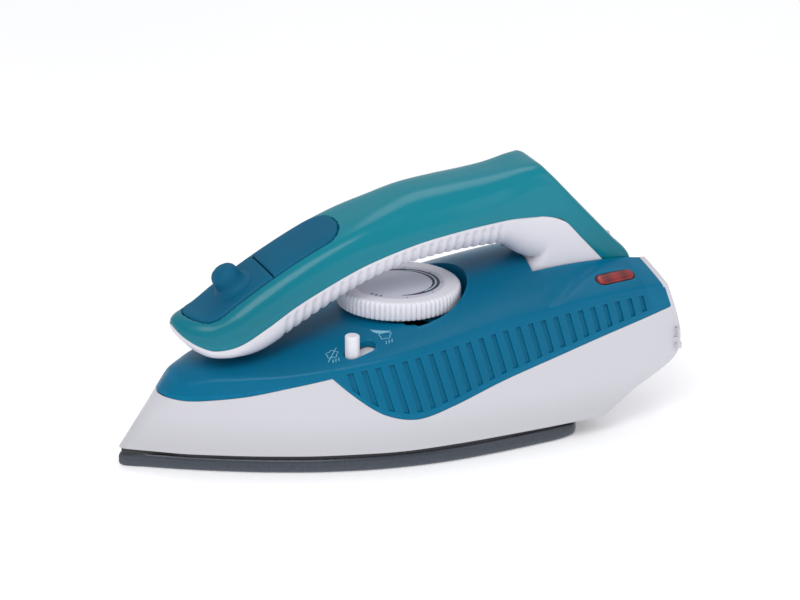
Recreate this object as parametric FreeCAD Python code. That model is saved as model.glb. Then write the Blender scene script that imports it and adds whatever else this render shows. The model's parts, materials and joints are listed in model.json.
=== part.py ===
import FreeCAD, Part
import math
import os

# Travel steam iron with a folding handle, in millimetres.
# Frame: nose towards -X, heel towards +X, user's left side towards -Y, +Z up. The origin is on the
# ironing face, which lies in z = 0, on the iron's centre plane.

os.makedirs("parts", exist_ok=True)
V = FreeCAD.Vector

# ----------------------------------------------------------------------------- driving dimensions
SOLE_NOSE_X = -99.3          # tip of the ironing face
SOLE_HEEL_X = 66.0           # rear edge of the ironing face
SOLE_HALF_WIDTH = 41.6
SOLE_THICKNESS = 5.0
SHIELD_TOP = 7.0             # the plastic starts here
WALL = 2.0                   # thickness of every plastic shell
SEAM = 0.15                  # gap left along the join of two shells

HINGE_X, HINGE_Z = 78.0, 40.0
HINGE_PIN_R = 3.0
RUN_CLEARANCE = 0.05         # shaft in hole, radial
LEG_HALF_WIDTH = 14.0
SLOT_GAP = 0.7               # each side of the leg in the deck
ARM_SKIRT_R = 29.6           # round front of the leg, centred on the hinge
BRACKET_IN = LEG_HALF_WIDTH + 1.7        # inner faces of the hinge bracket's cheeks
BRACKET_OUT = BRACKET_IN + 2.5
COVER_LOW = 27.0             # lower edge of the rear cover

DIAL_X = 7.0
DIAL_R = 22.5
DIAL_TOP = 54.0
DIAL_BOTTOM = 47.2
POCKET_R = DIAL_R + 2.1      # recess in the deck round the dial
CUP_BOTTOM = DIAL_BOTTOM - 3.2           # underside of the recess
CUP_GAP = 0.5                # between the recess and the lever's carriage at full travel
SHAFT_R = 3.0

PEG_R = 2.6
PEG_X, PEG_Y = -21.0, -26.0
PEG_TOP = 47.2
LEVER_TRAVEL = 6.0
LEVER_DIRECTION = V(0.966, 0.116, 0.232)
LEVER_NORMAL = V(-0.20, -0.235, 0.95)
FIN_HEIGHT = 31.0            # level of the valve's cross pin with the steam off
VALVE_AHEAD = 5.0            # valve axis, measured along the lever's travel from the peg
CROSS_PIN_R = 0.9
FORK_HALF, FORK_SIDE = 1.8, 2.9          # half sizes of the valve needle's fork, along and across the travel

LENS_LENGTH, LENS_WIDTH = 15.0, 5.2
LENS_X, LENS_Y = 80.5, -25.5
GLAND_X, GLAND_Z = 98.4, 34.5
GLAND_R = 6.0                # hole for the gland in the rear cover
GLAND_BORE_R = 3.4

COLD_END_X, COLD_END_Y = SOLE_HEEL_X - 17.2, 11.6      # upturned ends of the heating element
COLD_END_TOP = 24.0
LEAD_GAP = 0.9               # supply leads stop short of the bore that the cord comes in by
TERMINAL_X, TERMINAL_Y = 41.0, -25.0     # centre of the terminal block
TERMINAL_SIZE = 12.0
TERMINAL_TOP = 30.0
REAR_SCREW_X = SOLE_HEEL_X - 25.5
SOLE_SCREWS = [(-60.0, 0.0), (REAR_SCREW_X, 10.0), (REAR_SCREW_X, -10.0)]
STEAM_HOLES = [(-69, 0), (-52, 7), (-52, -7), (-40, 11), (-40, -11), (-27, 15), (-27, -15), (-13, 17.5),
               (-13, -17.5), (2, 18.5), (2, -18.5), (-46, 0), (-33, 3.5), (-33, -3.5)]

# --------------------------------------------------------------------------------- shape stations
# Body foot line: x, half width at z = 8, and how much it narrows per millimetre of height.
FOOT = [(-104, 0.0, 0.30), (-97, 3.9, 0.28), (-88, 9.8, 0.26), (-80, 15.2, 0.25), (-70, 20.5, 0.24),
        (-58, 26.3, 0.20), (-40, 33.6, 0.19), (-25, 38.0, 0.19), (-8, 41.6, 0.20), (12, 42.4, 0.20),
        (30, 41.8, 0.19), (50, 40.6, 0.155), (70, 39.0, 0.12), (90, 36.9, 0.10), (112, 33.5, 0.10)]

# Deck: x, height on the centre plane, and curvature across (drop per square millimetre of y).
DECK = [(-112, 22.0, 0.0), (-98, 24.5, 0.004), (-90, 27.4, 0.012), (-84, 29.8, 0.020), (-80, 31.8, 0.026),
        (-75, 33.9, 0.022), (-69, 35.3, 0.012), (-60, 36.1, 0.0055), (-45, 38.0, 0.0040), (-30, 41.4, 0.0044),
        (-10, 46.2, 0.0052), (10, 51.2, 0.0068), (30, 55.4, 0.0081), (50, 58.2, 0.0086), (70, 59.2, 0.0077),
        (90, 58.4, 0.0068), (112, 55.0, 0.0060)]

# Line between the teal deck cover and the white lower housing, in side view.
BOUNDARY = [(-90, 25.4), (-84, 25.6), (-77, 25.2), (-68.8, 26.0), (-57, 28.1), (-45, 30.9), (-30.5, 34.0)]
BOUNDARY_SWOOP = [(-30.5, 34.0), (-25.5, 29.2), (-18.5, 23.4), (-13.2, 20.2), (-5.5, 17.9), (1.2, 17.8),
                  (12, 20.4), (31.8, 26.4), (52.2, 31.6), (72.7, 36.7), (108, 44.4)]

# Shoulder between the grooved flank and the smooth top of the deck cover, in side view.
SHOULDER = [(-27.0, 37.6), (-10.0, 40.0), (10.0, 42.8), (30.0, 45.9), (50.0, 48.2), (70.0, 50.2),
            (92.0, 51.0), (108.0, 50.0)]
RIB_COUNT, RIB_START, RIB_PITCH, RIB_LEAN = 24, -24.0, 5.0, 14.0
RIB_LEVEL = 34.0             # height at which the grooves are RIB_PITCH apart, counted from RIB_START

# Underside of the heel and the rear face, in side view, from the sole up to the deck's rear edge.
HEEL = [(62.0, 0.0), (66.5, 4.0), (73.2, 8.1), (83.3, 14.6), (93.4, 19.2), (100.0, 22.6), (103.0, 26.0),
        (104.0, 31.0), (103.0, 38.0), (100.6, 46.0), (97.6, 55.0), (96.0, 62.0)]

# Handle, folded: x, half width, underside, widest height, crest, squareness of the upper half.
HANDLE = [(-78.8, 0.8, 49.4, 50.1, 51.0, 2.0), (-78.0, 4.2, 47.2, 48.9, 52.0, 2.2),
          (-76.0, 7.6, 44.6, 47.0, 53.0, 2.5), (-72.5, 10.9, 41.4, 44.9, 53.6, 3.0),
          (-67.5, 14.0, 39.0, 43.5, 54.4, 3.6), (-59.5, 16.6, 38.3, 45.1, 58.9, 4.0),
          (-50.0, 17.0, 39.0, 49.9, 64.8, 4.0), (-38.0, 17.0, 45.0, 57.0, 71.4, 4.0),
          (-26.0, 17.0, 51.6, 62.8, 77.2, 4.0), (-14.0, 17.0, 57.6, 67.9, 82.0, 3.8),
          (-2.0, 17.0, 62.2, 71.6, 86.2, 3.0), (10.0, 17.0, 64.6, 74.4, 89.8, 2.6),
          (23.5, 16.7, 66.0, 76.3, 91.4, 2.6), (35.0, 15.9, 66.2, 77.2, 92.2, 2.8),
          (45.0, 14.8, 65.6, 77.4, 93.2, 3.4), (57.0, 14.0, 64.0, 76.6, 95.3, 5.0)]

# Seam between tank and grip, in side view, running over the arm and down its back.
TANK_SEAM = [(-79.4, 50.3)] + [(row[0], row[3]) for row in HANDLE[1:]] + [(65.0, 74.4)]
BACK_STRIP = 8.6             # width of the tank's strip down the back of the arm

# Back edge of the arm: a straight line from the apex of the handle down to the deck.
APEX = (57.6, 95.4)
BACK_FOOT = (92.6, 57.2)

# Rubber pad in the top of the tank.
PAD_FRONT, PAD_REAR = -74.0, -17.5
PAD_HALF_WIDTH = 11.6
PAD_SINK = 1.6
FLAP_X = -45.0
KNOB_X = -57.8
FILL_R = 4.4
OUTLET_X = 63.5


# ---------------------------------------------------------------------------------------- helpers
def save(name, shape):
    """Write one node."""
    shape = shape.removeSplitter() if len(shape.Solids) == 1 and shape.ShapeType != "Compound" else shape
    shape.exportStep("parts/" + name + ".step")


def solid_of(shape):
    """The largest solid of a boolean result."""
    return max(shape.Solids, key=lambda solid: solid.Volume)


def interpolate(rows, x, column):
    """Smooth (Catmull-Rom) reading of one column of a station table whose first column is x."""
    if x <= rows[0][0]:
        return rows[0][column]
    for i in range(len(rows) - 1):
        x0, x1 = rows[i][0], rows[i + 1][0]
        if x <= x1:
            break
    else:
        return rows[-1][column]
    t = (x - x0) / (x1 - x0)
    y0, y1 = rows[i][column], rows[i + 1][column]
    chord = (y1 - y0) / (x1 - x0)
    before = chord if i == 0 else (y1 - rows[i - 1][column]) / (x1 - rows[i - 1][0])
    after = chord if i + 2 >= len(rows) else (rows[i + 2][column] - y0) / (rows[i + 2][0] - x0)
    h = x1 - x0
    a = 2 * t ** 3 - 3 * t ** 2 + 1
    b = t ** 3 - 2 * t ** 2 + t
    c = -2 * t ** 3 + 3 * t ** 2
    d = t ** 3 - t ** 2
    return a * y0 + b * h * before + c * y1 + d * h * after


def spline(points):
    """One smooth edge through points."""
    curve = Part.BSplineCurve()
    curve.interpolate(points)
    return curve.toShape()


def box(x0, x1, y0, y1, z0, z1):
    return Part.makeBox(x1 - x0, y1 - y0, z1 - z0, V(x0, y0, z0))


def cylinder(radius, height, base, direction=None):
    return Part.makeCylinder(radius, height, base, direction or V(0, 0, 1))


def tube(outer, inner, height, base, direction=None):
    return cylinder(outer, height, base, direction).cut(cylinder(inner, height, base, direction))


def prism_xz(points, half_width, y_centre=0.0):
    """Side-view polygon, extruded across the iron."""
    wire = Part.makePolygon([V(x, y_centre - half_width, z) for x, z in points + points[:1]])
    return Part.Face(wire).extrude(V(0, 2 * half_width, 0))


def prism_xz_edges(edges, half_width):
    """Side-view outline made of edges in the plane y = 0, extruded across the iron."""
    face = Part.Face(Part.Wire(edges))
    face.translate(V(0, -half_width, 0))
    return face.extrude(V(0, 2 * half_width, 0))


def obround(length, width, height, placement):
    """Round-ended bar along local x, centred, rising along local z."""
    r = width / 2
    half = length / 2 - r
    shape = cylinder(r, height, V(-half, 0, 0)).fuse(cylinder(r, height, V(half, 0, 0)))
    shape = shape.fuse(box(-half, half, -r, r, 0, height)).removeSplitter()
    shape.Placement = placement
    return shape


def side_line(points):
    """Points of a side view, as vectors in the plane y = 0."""
    return [V(x, 0, z) for x, z in points]


# ------------------------------------------------------------------------------- sole and heating
def sole_half_width(x):
    """Half width of the ironing face: a long rounded nose and a short rounded heel."""
    t = (x - SOLE_NOSE_X) / 110.0
    width = SOLE_HALF_WIDTH * math.sin(math.pi / 2 * min(t, 1.0)) ** 0.9
    if x > 10.0:
        width -= 0.0018 * (x - 10.0) ** 2
    return width


def sole_points(z, inset, heel_inset):
    """Outline points of the sole from the nose, round the user's right side, to the heel."""
    heel_x = SOLE_HEEL_X - heel_inset
    nose_x = SOLE_NOSE_X + 1.25 * inset
    right = [V(nose_x, 0, z)]
    for x in (-96.5, -90, -80, -68, -52, -34, -14, 8, 28, 46, 55):
        width = sole_half_width(x) - inset
        if x > nose_x + 2.0 and width > 1.0 and x < heel_x - 6.0:
            right.append(V(x, width, z))
    corner = right[-1].y
    right += [V(heel_x - 4.5, corner - 3.0, z), V(heel_x - 0.8, corner * 0.6, z), V(heel_x, 0, z)]
    return right


def sole_outline(z, inset):
    """Smooth closed outline of the sole at height z, drawn inset from the edge."""
    right = sole_points(z, inset, inset)
    left = [V(p.x, -p.y, p.z) for p in reversed(right[1:-1])]
    curve = Part.BSplineCurve()
    curve.interpolate(right + left, PeriodicFlag=True)
    return Part.Wire(curve.toShape())


def plate(z0, z1, inset):
    """Flat plate with the sole's smooth outline."""
    return Part.Face(sole_outline(z0, inset)).extrude(V(0, 0, z1 - z0))


def inner_plate(z0, z1, inset, heel_inset):
    """Faceted plate that follows the sole, for the casting's hidden shapes."""
    right = sole_points(z0, inset, heel_inset)
    left = [V(p.x, -p.y, p.z) for p in reversed(right[1:-1])]
    wire = Part.makePolygon(right + left + right[:1])
    return Part.Face(wire).extrude(V(0, 0, z1 - z0))


def make_soleplate():
    edge = [(0.0, 1.3), (0.5, 0.35), (1.4, 0.0), (3.8, 0.0), (SOLE_THICKNESS, 0.7)]
    body = Part.makeLoft([sole_outline(z, inset) for z, inset in edge], True, True)
    casting = inner_plate(SOLE_THICKNESS - 0.5, 12.0, 9.0, 10.0)
    chamber = inner_plate(5.2, 13.0, 19.0, 34.0).cut(cylinder(4.4, 20, V(SOLE_SCREWS[0][0], 0, 0)))
    groove = inner_plate(8.0, 13.0, 10.8, 14.0).cut(inner_plate(7.0, 14.0, 17.2, 20.4))
    groove = groove.cut(box(SOLE_HEEL_X - 21, SOLE_HEEL_X + 4, -9, 9, 7, 14))
    body = body.fuse(casting.cut(chamber).cut(groove))
    holes = [cylinder(1.2, 8, V(x, y, -1)) for x, y in STEAM_HOLES]
    holes += [cylinder(1.5, 6.2, V(x, y, 6.0)) for x, y in SOLE_SCREWS]
    return body.cut(Part.makeCompound(holes))


def make_heating_element():
    """Sheathed element lying in its groove, with two cold ends turned up at the heel."""
    ring = inner_plate(8.0, 11.8, 11.1, 14.4).cut(inner_plate(7.0, 13.0, 16.9, 20.0))
    ring = ring.cut(box(SOLE_HEEL_X - 22, SOLE_HEEL_X + 4, -9.4, 9.4, 7, 13))
    for side in (-1, 1):
        ring = ring.fuse(cylinder(1.8, COLD_END_TOP - 10.0, V(COLD_END_X, side * COLD_END_Y, 10.0)))
    return ring


def make_chamber_cover():
    cover = inner_plate(12.0, 13.2, 9.6, 10.6)
    holes = [cylinder(4.6, 4, V(x, y, 11)) for x, y in SOLE_SCREWS]
    holes += [cylinder(2.6, 4, V(COLD_END_X, side * COLD_END_Y, 11)) for side in (-1, 1)]
    holes.append(cylinder(1.7, 4, valve_axis() + V(0, 0, 11)))
    return cover.cut(Part.makeCompound(holes))


def make_heat_shield():
    ring = plate(SOLE_THICKNESS, SHIELD_TOP, 1.1)
    return ring.cut(inner_plate(SOLE_THICKNESS - 1, SHIELD_TOP + 1, 8.4, 9.4))


# ------------------------------------------------------------------------------------ body shells
def nose_x_at(z):
    """The nose leans back as it rises."""
    return -99.2 + 0.80 * (z - SHIELD_TOP)


def body_half_width(x, z):
    return interpolate(FOOT, x, 1) - interpolate(FOOT, x, 2) * (z - 8.0)


def body_outline(z, inset):
    """Plan outline of the side walls at height z; the open rear end is squared off past the heel."""
    nose = nose_x_at(z) + 1.3 * inset
    right = []
    for d in (0.5, 2.0, 5.0, 10.0, 17.0, 27.0, 40.0, 56.0, 76.0, 98.0, 120.0, 145.0, 170.0, 200.0):
        span = 112.0 - nose
        x = nose + d * span / 211.2
        width = (body_half_width(x, z) - 1.03 * inset) * math.sqrt(d / (d + 2.0))
        right.append(V(x, max(width, 0.3), z))
    x = 112.0
    right.append(V(x, body_half_width(x, z) - 1.03 * inset, z))
    left = [V(p.x, -p.y, p.z) for p in reversed(right)]
    edge = spline(left + [V(nose, 0, z)] + right)
    return Part.Wire([edge, Part.makeLine(right[-1], left[0])])


def walls_solid(inset, bottom=SHIELD_TOP):
    """Solid inside the side walls, taller than the deck."""
    levels = [bottom, 14, 22, 30, 38, 46, 54, 64]
    return Part.makeLoft([body_outline(z, inset) for z in levels], True, False)


def deck_height(x, y):
    return interpolate(DECK, x, 1) - interpolate(DECK, x, 2) * y * y


def deck_solid(drop):
    """Everything under the deck's surface, lowered by drop."""
    sections = []
    for x in (-104, -98, -92, -86, -82, -78, -73, -67, -60, -50, -38, -25, -10, 5, 20, 35, 50, 65, 80, 95,
              110):
        top = [V(x, y, deck_height(x, y) - drop) for y in (-45, -36, -27, -18, -9, 0, 9, 18, 27, 36, 45)]
        low = -70.0
        sections.append(Part.Wire([
            spline(top),
            Part.makeLine(top[-1], V(x, 45, low)),
            Part.makeLine(V(x, 45, low), V(x, -45, low)),
            Part.makeLine(V(x, -45, low), top[0]),
        ]))
    return Part.makeLoft(sections, True, False)


def heel_region(inset, bottom=SHIELD_TOP):
    """Side-view region in front of the heel's curve, drawn inset from it."""
    curve = []
    for i, (x, z) in enumerate(HEEL):
        ahead = HEEL[min(i + 1, len(HEEL) - 1)]
        behind = HEEL[max(i - 1, 0)]
        dx, dz = ahead[0] - behind[0], ahead[1] - behind[1]
        length = math.hypot(dx, dz)
        curve.append((x - inset * dz / length, z + inset * dx / length))
    edge = spline(side_line(curve))
    first, last = curve[0], curve[-1]
    corners = [(last[0], 80.0), (-120.0, 80.0), (-120.0, first[1] - 4.0), (first[0], first[1] - 4.0)]
    points = side_line([last] + corners + [first])
    lines = [Part.makeLine(points[i], points[i + 1]) for i in range(len(points) - 1)]
    region = prism_xz_edges([edge] + lines, 60.0)
    return region.common(box(-130, 130, -70, 70, bottom, 100))


def above_boundary(gap):
    """Side-view region above the line between deck cover and lower housing, raised by gap."""
    first = [V(x, 0, z + gap) for x, z in BOUNDARY]
    swoop = [V(x, 0, z + gap) for x, z in BOUNDARY_SWOOP]
    start, end = first[0], swoop[-1]
    corners = [end, V(end.x, 0, 90), V(-120, 0, 90), V(-120, 0, start.z), start]
    edges = [spline(first), spline(swoop)]
    edges += [Part.makeLine(corners[i], corners[i + 1]) for i in range(len(corners) - 1)]
    return prism_xz_edges(edges, 60.0)


def body_solid(inset, bottom=SHIELD_TOP):
    body = walls_solid(inset, bottom).common(deck_solid(inset * 1.08))
    return body.common(heel_region(inset, bottom))


def lever_placement():
    """Frame on the deck at the peg: local x along the slot, local z out of the deck."""
    x_axis = V(LEVER_DIRECTION)
    x_axis.normalize()
    y_axis = LEVER_NORMAL.cross(x_axis)
    y_axis.normalize()
    z_axis = x_axis.cross(y_axis)
    rotation = FreeCAD.Rotation(x_axis, y_axis, z_axis, "XYZ")
    return FreeCAD.Placement(V(PEG_X, PEG_Y, deck_height(PEG_X, PEG_Y)), rotation)


def in_lever_frame(shape):
    """Place a shape drawn in the deck's own frame at the peg."""
    shape.Placement = lever_placement().multiply(shape.Placement)
    return shape


def in_travel_frame(shape):
    """Place a shape drawn upright at the peg, local x along the lever's travel in plan."""
    yaw = math.degrees(math.atan2(LEVER_DIRECTION.y, LEVER_DIRECTION.x))
    turn = FreeCAD.Placement(V(PEG_X, PEG_Y, 0), FreeCAD.Rotation(V(0, 0, 1), yaw))
    shape.Placement = turn.multiply(shape.Placement)
    return shape


def rib_slots():
    """Slanted grooves on the flanks, between the boundary line and the shoulder."""
    tools = []
    for i in range(RIB_COUNT):
        slot = box(-1.0, 1.0, -60, 60, -30, 30)
        slot.rotate(V(0, 0, 0), V(0, 1, 0), -RIB_LEAN)
        slot.translate(V(RIB_START + RIB_PITCH * i, 0, RIB_LEVEL))
        tools.append(slot)
    grooves = Part.makeCompound(tools)
    low = [V(x, 0, z + 2.2) for x, z in BOUNDARY_SWOOP[1:]]
    high = [V(x, 0, z - 2.4) for x, z in SHOULDER]
    band = prism_xz_edges([spline(low), Part.makeLine(low[-1], high[-1]), spline(list(reversed(high))),
                           Part.makeLine(high[0], low[0])], 60.0)
    return grooves.common(band)


def lens_placement():
    """Frame on the deck at the lamp: local x along the lens, local z out of the deck."""
    x, y = LENS_X, LENS_Y
    slope_x = (deck_height(x + 1, y) - deck_height(x - 1, y)) / 2
    slope_y = (deck_height(x, y + 1) - deck_height(x, y - 1)) / 2
    normal = V(-slope_x, -slope_y, 1)
    normal.normalize()
    along = V(1, 0.10, 0)
    along = along - normal * along.dot(normal)
    along.normalize()
    across = normal.cross(along)
    return FreeCAD.Placement(V(x, y, deck_height(x, y)), FreeCAD.Rotation(along, across, normal, "XYZ"))


def make_shells():
    outer = body_solid(0.0)
    inner = body_solid(WALL, SHIELD_TOP - 1)
    fitted = body_solid(0.6)
    shell = outer.cut(inner)
    deck = shell.common(above_boundary(SEAM / 2))
    lower = solid_of(shell.cut(above_boundary(-SEAM / 2)))

    # The rear 2 mm of both shells is a separate white cover plate.
    front_region = heel_region(WALL, SHIELD_TOP - 1)
    plate_region = front_region.cut(box(-130, 130, -70, 70, -10, COVER_LOW))
    rear = outer.cut(front_region).common(box(90, 130, -70, 70, COVER_LOW, 100))
    keep = box(-130, 130, -70, 70, -10, COVER_LOW).fuse(front_region)
    deck = deck.common(keep)
    lower = lower.common(keep)

    # Pocket for the dial.
    cup = cylinder(POCKET_R + WALL, 20, V(DIAL_X, 0, CUP_BOTTOM)).common(outer)
    deck = deck.fuse(cup).cut(cylinder(POCKET_R, 30, V(DIAL_X, 0, DIAL_BOTTOM - 1.2)))
    deck = deck.cut(cylinder(SHAFT_R + 1.0, 30, V(DIAL_X, 0, 30)))

    # Slot for the arm, open to the rear.
    half = LEG_HALF_WIDTH + SLOT_GAP
    front = HINGE_X - ARM_SKIRT_R - 0.6
    slot = box(front, 120, -half, half, 47.0, 90)
    sweep = cylinder(ARM_SKIRT_R + 0.6, 2 * half, V(HINGE_X, -half, HINGE_Z), V(0, 1, 0))
    slot = slot.cut(box(front - 1, HINGE_X - 10, -half - 1, half + 1, 40, 95).cut(sweep))
    deck = deck.cut(slot)
    rear = rear.cut(box(90, 120, -half, half, 47.0, 90))

    # Slot for the lever's peg, and the lens opening.
    plan_travel = LEVER_TRAVEL * math.hypot(LEVER_DIRECTION.x, LEVER_DIRECTION.y)
    opening = obround(plan_travel + 2 * PEG_R + 1.2, 2 * PEG_R + 1.2, 30,
                      FreeCAD.Placement(V(plan_travel / 2, 0, 30), FreeCAD.Rotation()))
    deck = deck.cut(in_travel_frame(opening))
    lens = obround(LENS_LENGTH + 0.1, LENS_WIDTH + 0.1, 12,
                   FreeCAD.Placement(V(0, 0, -6), FreeCAD.Rotation()))
    lens.Placement = lens_placement().multiply(lens.Placement)
    deck = deck.cut(lens)

    # Flank grooves, only as deep as half the wall.
    grooves = rib_slots().cut(walls_solid(1.0))
    deck = deck.cut(grooves)
    deck = solid_of(deck)

    # Screw bosses of the lower housing stand on the casting.
    bosses = [cylinder(4.2, 12.0, V(x, y, 12.0)) for x, y in SOLE_SCREWS]
    bosses += [box(REAR_SCREW_X - 1.4, REAR_SCREW_X + 1.4, -45, 45, 17.0, 21.0),
               box(-95, SOLE_SCREWS[0][0], -1.2, 1.2, 17.0, 22.0)]
    bosses = bosses[0].fuse(bosses[1:]).common(fitted)
    holes = Part.makeCompound([cylinder(1.8, 20, V(x, y, 11)) for x, y in SOLE_SCREWS])
    lower = lower.fuse(bosses).cut(holes)
    rear = rear.cut(cylinder(GLAND_R, 30, V(90, 0, GLAND_Z), V(1, 0, 0)))
    lower = lower.cut(cylinder(GLAND_R, 30, V(90, 0, GLAND_Z), V(1, 0, 0)))
    return solid_of(deck), solid_of(lower), solid_of(rear), inner


# -------------------------------------------------------------------------- parts inside the body
def make_hinge_bracket(inner):
    """Two upright cheeks on a cross plate, standing on the inside of the heel."""
    side = [(64.0, 7.4), (92.0, 7.4), (92.0, 43.0), (84.0, 49.0), (72.0, 49.0), (64.0, 43.0)]
    cheek = BRACKET_OUT - BRACKET_IN
    middle = (BRACKET_OUT + BRACKET_IN) / 2
    shape = prism_xz(side, cheek / 2, middle).fuse(prism_xz(side, cheek / 2, -middle))
    shape = shape.fuse(box(64, 92, -middle, middle, 22.0, 24.5))
    shape = shape.common(inner)
    return shape.cut(cylinder(HINGE_PIN_R, 60, V(HINGE_X, -30, HINGE_Z), V(0, 1, 0)))


def make_hinge_pin():
    shaft = cylinder(HINGE_PIN_R, 2 * BRACKET_OUT + 1.6, V(HINGE_X, -BRACKET_OUT, HINGE_Z), V(0, 1, 0))
    head = cylinder(HINGE_PIN_R + 1.8, 1.8, V(HINGE_X, -BRACKET_OUT - 1.8, HINGE_Z), V(0, 1, 0))
    return shaft.fuse(head)


def make_friction_washers():
    """One washer on each side of the knuckle; they hold the handle where it is put."""
    thickness = BRACKET_IN - LEG_HALF_WIDTH - 0.3
    left = tube(8.0, HINGE_PIN_R, thickness, V(HINGE_X, -BRACKET_IN, HINGE_Z), V(0, 1, 0))
    right = tube(8.0, HINGE_PIN_R, thickness, V(HINGE_X, BRACKET_IN - thickness, HINGE_Z), V(0, 1, 0))
    return Part.makeCompound([left, right])


def make_detent_spring():
    """Leaf spring on the bracket's cross plate, its crown just under the knuckle."""
    leaf = box(68.0, 88.0, -4.0, 4.0, 24.5, 25.3)
    crown = tube(5.2, 4.4, 8.0, V(HINGE_X, -4.0, 25.3), V(0, 1, 0)).common(box(60, 100, -5, 5, 25.3, 40))
    return leaf.fuse(crown)


def make_thermostat():
    base = cylinder(9.0, 6.0, V(DIAL_X, 0, 13.2))
    tabs = box(DIAL_X - 14.0, DIAL_X + 14.0, -3.0, 3.0, 15.0, 15.8)
    bush = cylinder(5.2, 12.0, V(DIAL_X, 0, 19.2))
    return base.fuse([tabs, bush]).cut(cylinder(SHAFT_R + RUN_CLEARANCE, 20.0, V(DIAL_X, 0, 17.2)))


def make_thermal_fuse():
    body = cylinder(2.6, 14.0, V(16.0, 14.0, 15.8), V(1, 0, 0))
    strap = box(21.0, 25.0, 10.4, 17.6, 13.2, 14.0)
    ears = [box(21.0, 25.0, 10.4, 11.4, 13.2, 15.8), box(21.0, 25.0, 16.6, 17.6, 13.2, 15.8)]
    return body.fuse([strap] + ears)


def make_terminal_block():
    half = TERMINAL_SIZE / 2
    block = box(TERMINAL_X - half, TERMINAL_X + half, TERMINAL_Y - half, TERMINAL_Y + half, 21.0,
                TERMINAL_TOP)
    holes = [cylinder(1.5, 6.0, V(TERMINAL_X + 3.0 * i, TERMINAL_Y + 3.0 * j, TERMINAL_TOP - 4.0))
             for i in (-1, 1) for j in (-1, 1)]
    return block.cut(Part.makeCompound(holes))


def cable(points, radius):
    """Round cable: straight runs between points, joined by tangent arcs that take 0.45 of the shorter run."""
    edges = []
    start = points[0]
    for before, corner, after in zip(points, points[1:], points[2:]):
        back, ahead = before - corner, after - corner
        reach = 0.45 * min(back.Length, ahead.Length)
        back.normalize()
        ahead.normalize()
        half_angle = math.acos(back.dot(ahead)) / 2
        inward = back + ahead
        inward.normalize()
        middle = corner + inward * (reach / math.cos(half_angle) - reach * math.tan(half_angle))
        edges.append(Part.makeLine(start, corner + back * reach))
        edges.append(Part.Arc(corner + back * reach, middle, corner + ahead * reach).toShape())
        start = corner + ahead * reach
    edges.append(Part.makeLine(start, points[-1]))
    section = Part.Wire(Part.makeCircle(radius, points[0], points[1] - points[0]))
    return Part.Wire(edges).makePipeShell([section], True, False)


def make_wiring():
    """Two supply leads from the cord gland, one lead to the lamp and two leads to the heating element."""
    block_rear = TERMINAL_X + TERMINAL_SIZE / 2
    block_right = TERMINAL_Y + TERMINAL_SIZE / 2
    gland_end = GLAND_X - LEAD_GAP
    supply = [V(gland_end, -1.4, GLAND_Z), V(93.7, -1.4, GLAND_Z), V(94.0, -9, 33), V(94.8, -22.5, 31),
              V(66, -24.5, 27), V(block_rear + 0.1, TERMINAL_Y + 0.5, 26)]
    second = [V(gland_end, 1.4, GLAND_Z), V(93.7, 1.4, GLAND_Z), V(94.0, 9, 33), V(94.8, 22.5, 31),
              V(66, 24.5, 27), V(COLD_END_X, COLD_END_Y + 0.6, 25.4)]
    lamp = [V(74.6, -25.0, 46.6), V(60.0, -26.0, 40.0), V(TERMINAL_X, TERMINAL_Y, 37.0),
            V(TERMINAL_X, TERMINAL_Y, TERMINAL_TOP + 0.1)]
    element = [V(COLD_END_X, -COLD_END_Y, COLD_END_TOP + 0.1), V(COLD_END_X, -COLD_END_Y, 27.8),
               V(TERMINAL_X + 3.8, -13.8, 28.4), V(TERMINAL_X + 3.8, block_right + 0.1, 28.2)]
    return Part.makeCompound([cable(supply, 1.2), cable(second, 1.2), cable(lamp, 0.9), cable(element, 1.1)])


def make_lens():
    """Round-ended lens, standing slightly proud, with a flange under the deck."""
    level = FreeCAD.Rotation()
    proud = obround(LENS_LENGTH - 0.1, LENS_WIDTH - 0.1, WALL + 1.6,
                    FreeCAD.Placement(V(0, 0, -WALL - 1.0), level))
    flange = obround(LENS_LENGTH + 3.0, LENS_WIDTH + 3.0, 1.0,
                     FreeCAD.Placement(V(0, 0, -WALL - 1.5), level))
    lens = proud.fuse(flange)
    lens.Placement = lens_placement().multiply(lens.Placement)
    return lens


def make_lamp():
    lamp = cylinder(2.7, 11.0, V(-5.5, 0, -WALL - 4.3), V(1, 0, 0))
    lamp.Placement = lens_placement().multiply(lamp.Placement)
    return lamp


def make_gland():
    body = cylinder(GLAND_R - RUN_CLEARANCE, 5.8, V(GLAND_X, 0, GLAND_Z), V(1, 0, 0))
    flange = cylinder(GLAND_R + 1.0, 1.3, V(GLAND_X, 0, GLAND_Z), V(1, 0, 0))
    return body.fuse(flange).cut(cylinder(GLAND_BORE_R, 10, V(GLAND_X - 1.4, 0, GLAND_Z), V(1, 0, 0)))


def make_sole_screws():
    screws = []
    for x, y in SOLE_SCREWS:
        screws.append(cylinder(1.45, 17.7, V(x, y, 6.3)).fuse(cylinder(3.2, 2.0, V(x, y, 24.0))))
    return Part.makeCompound(screws)


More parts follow.
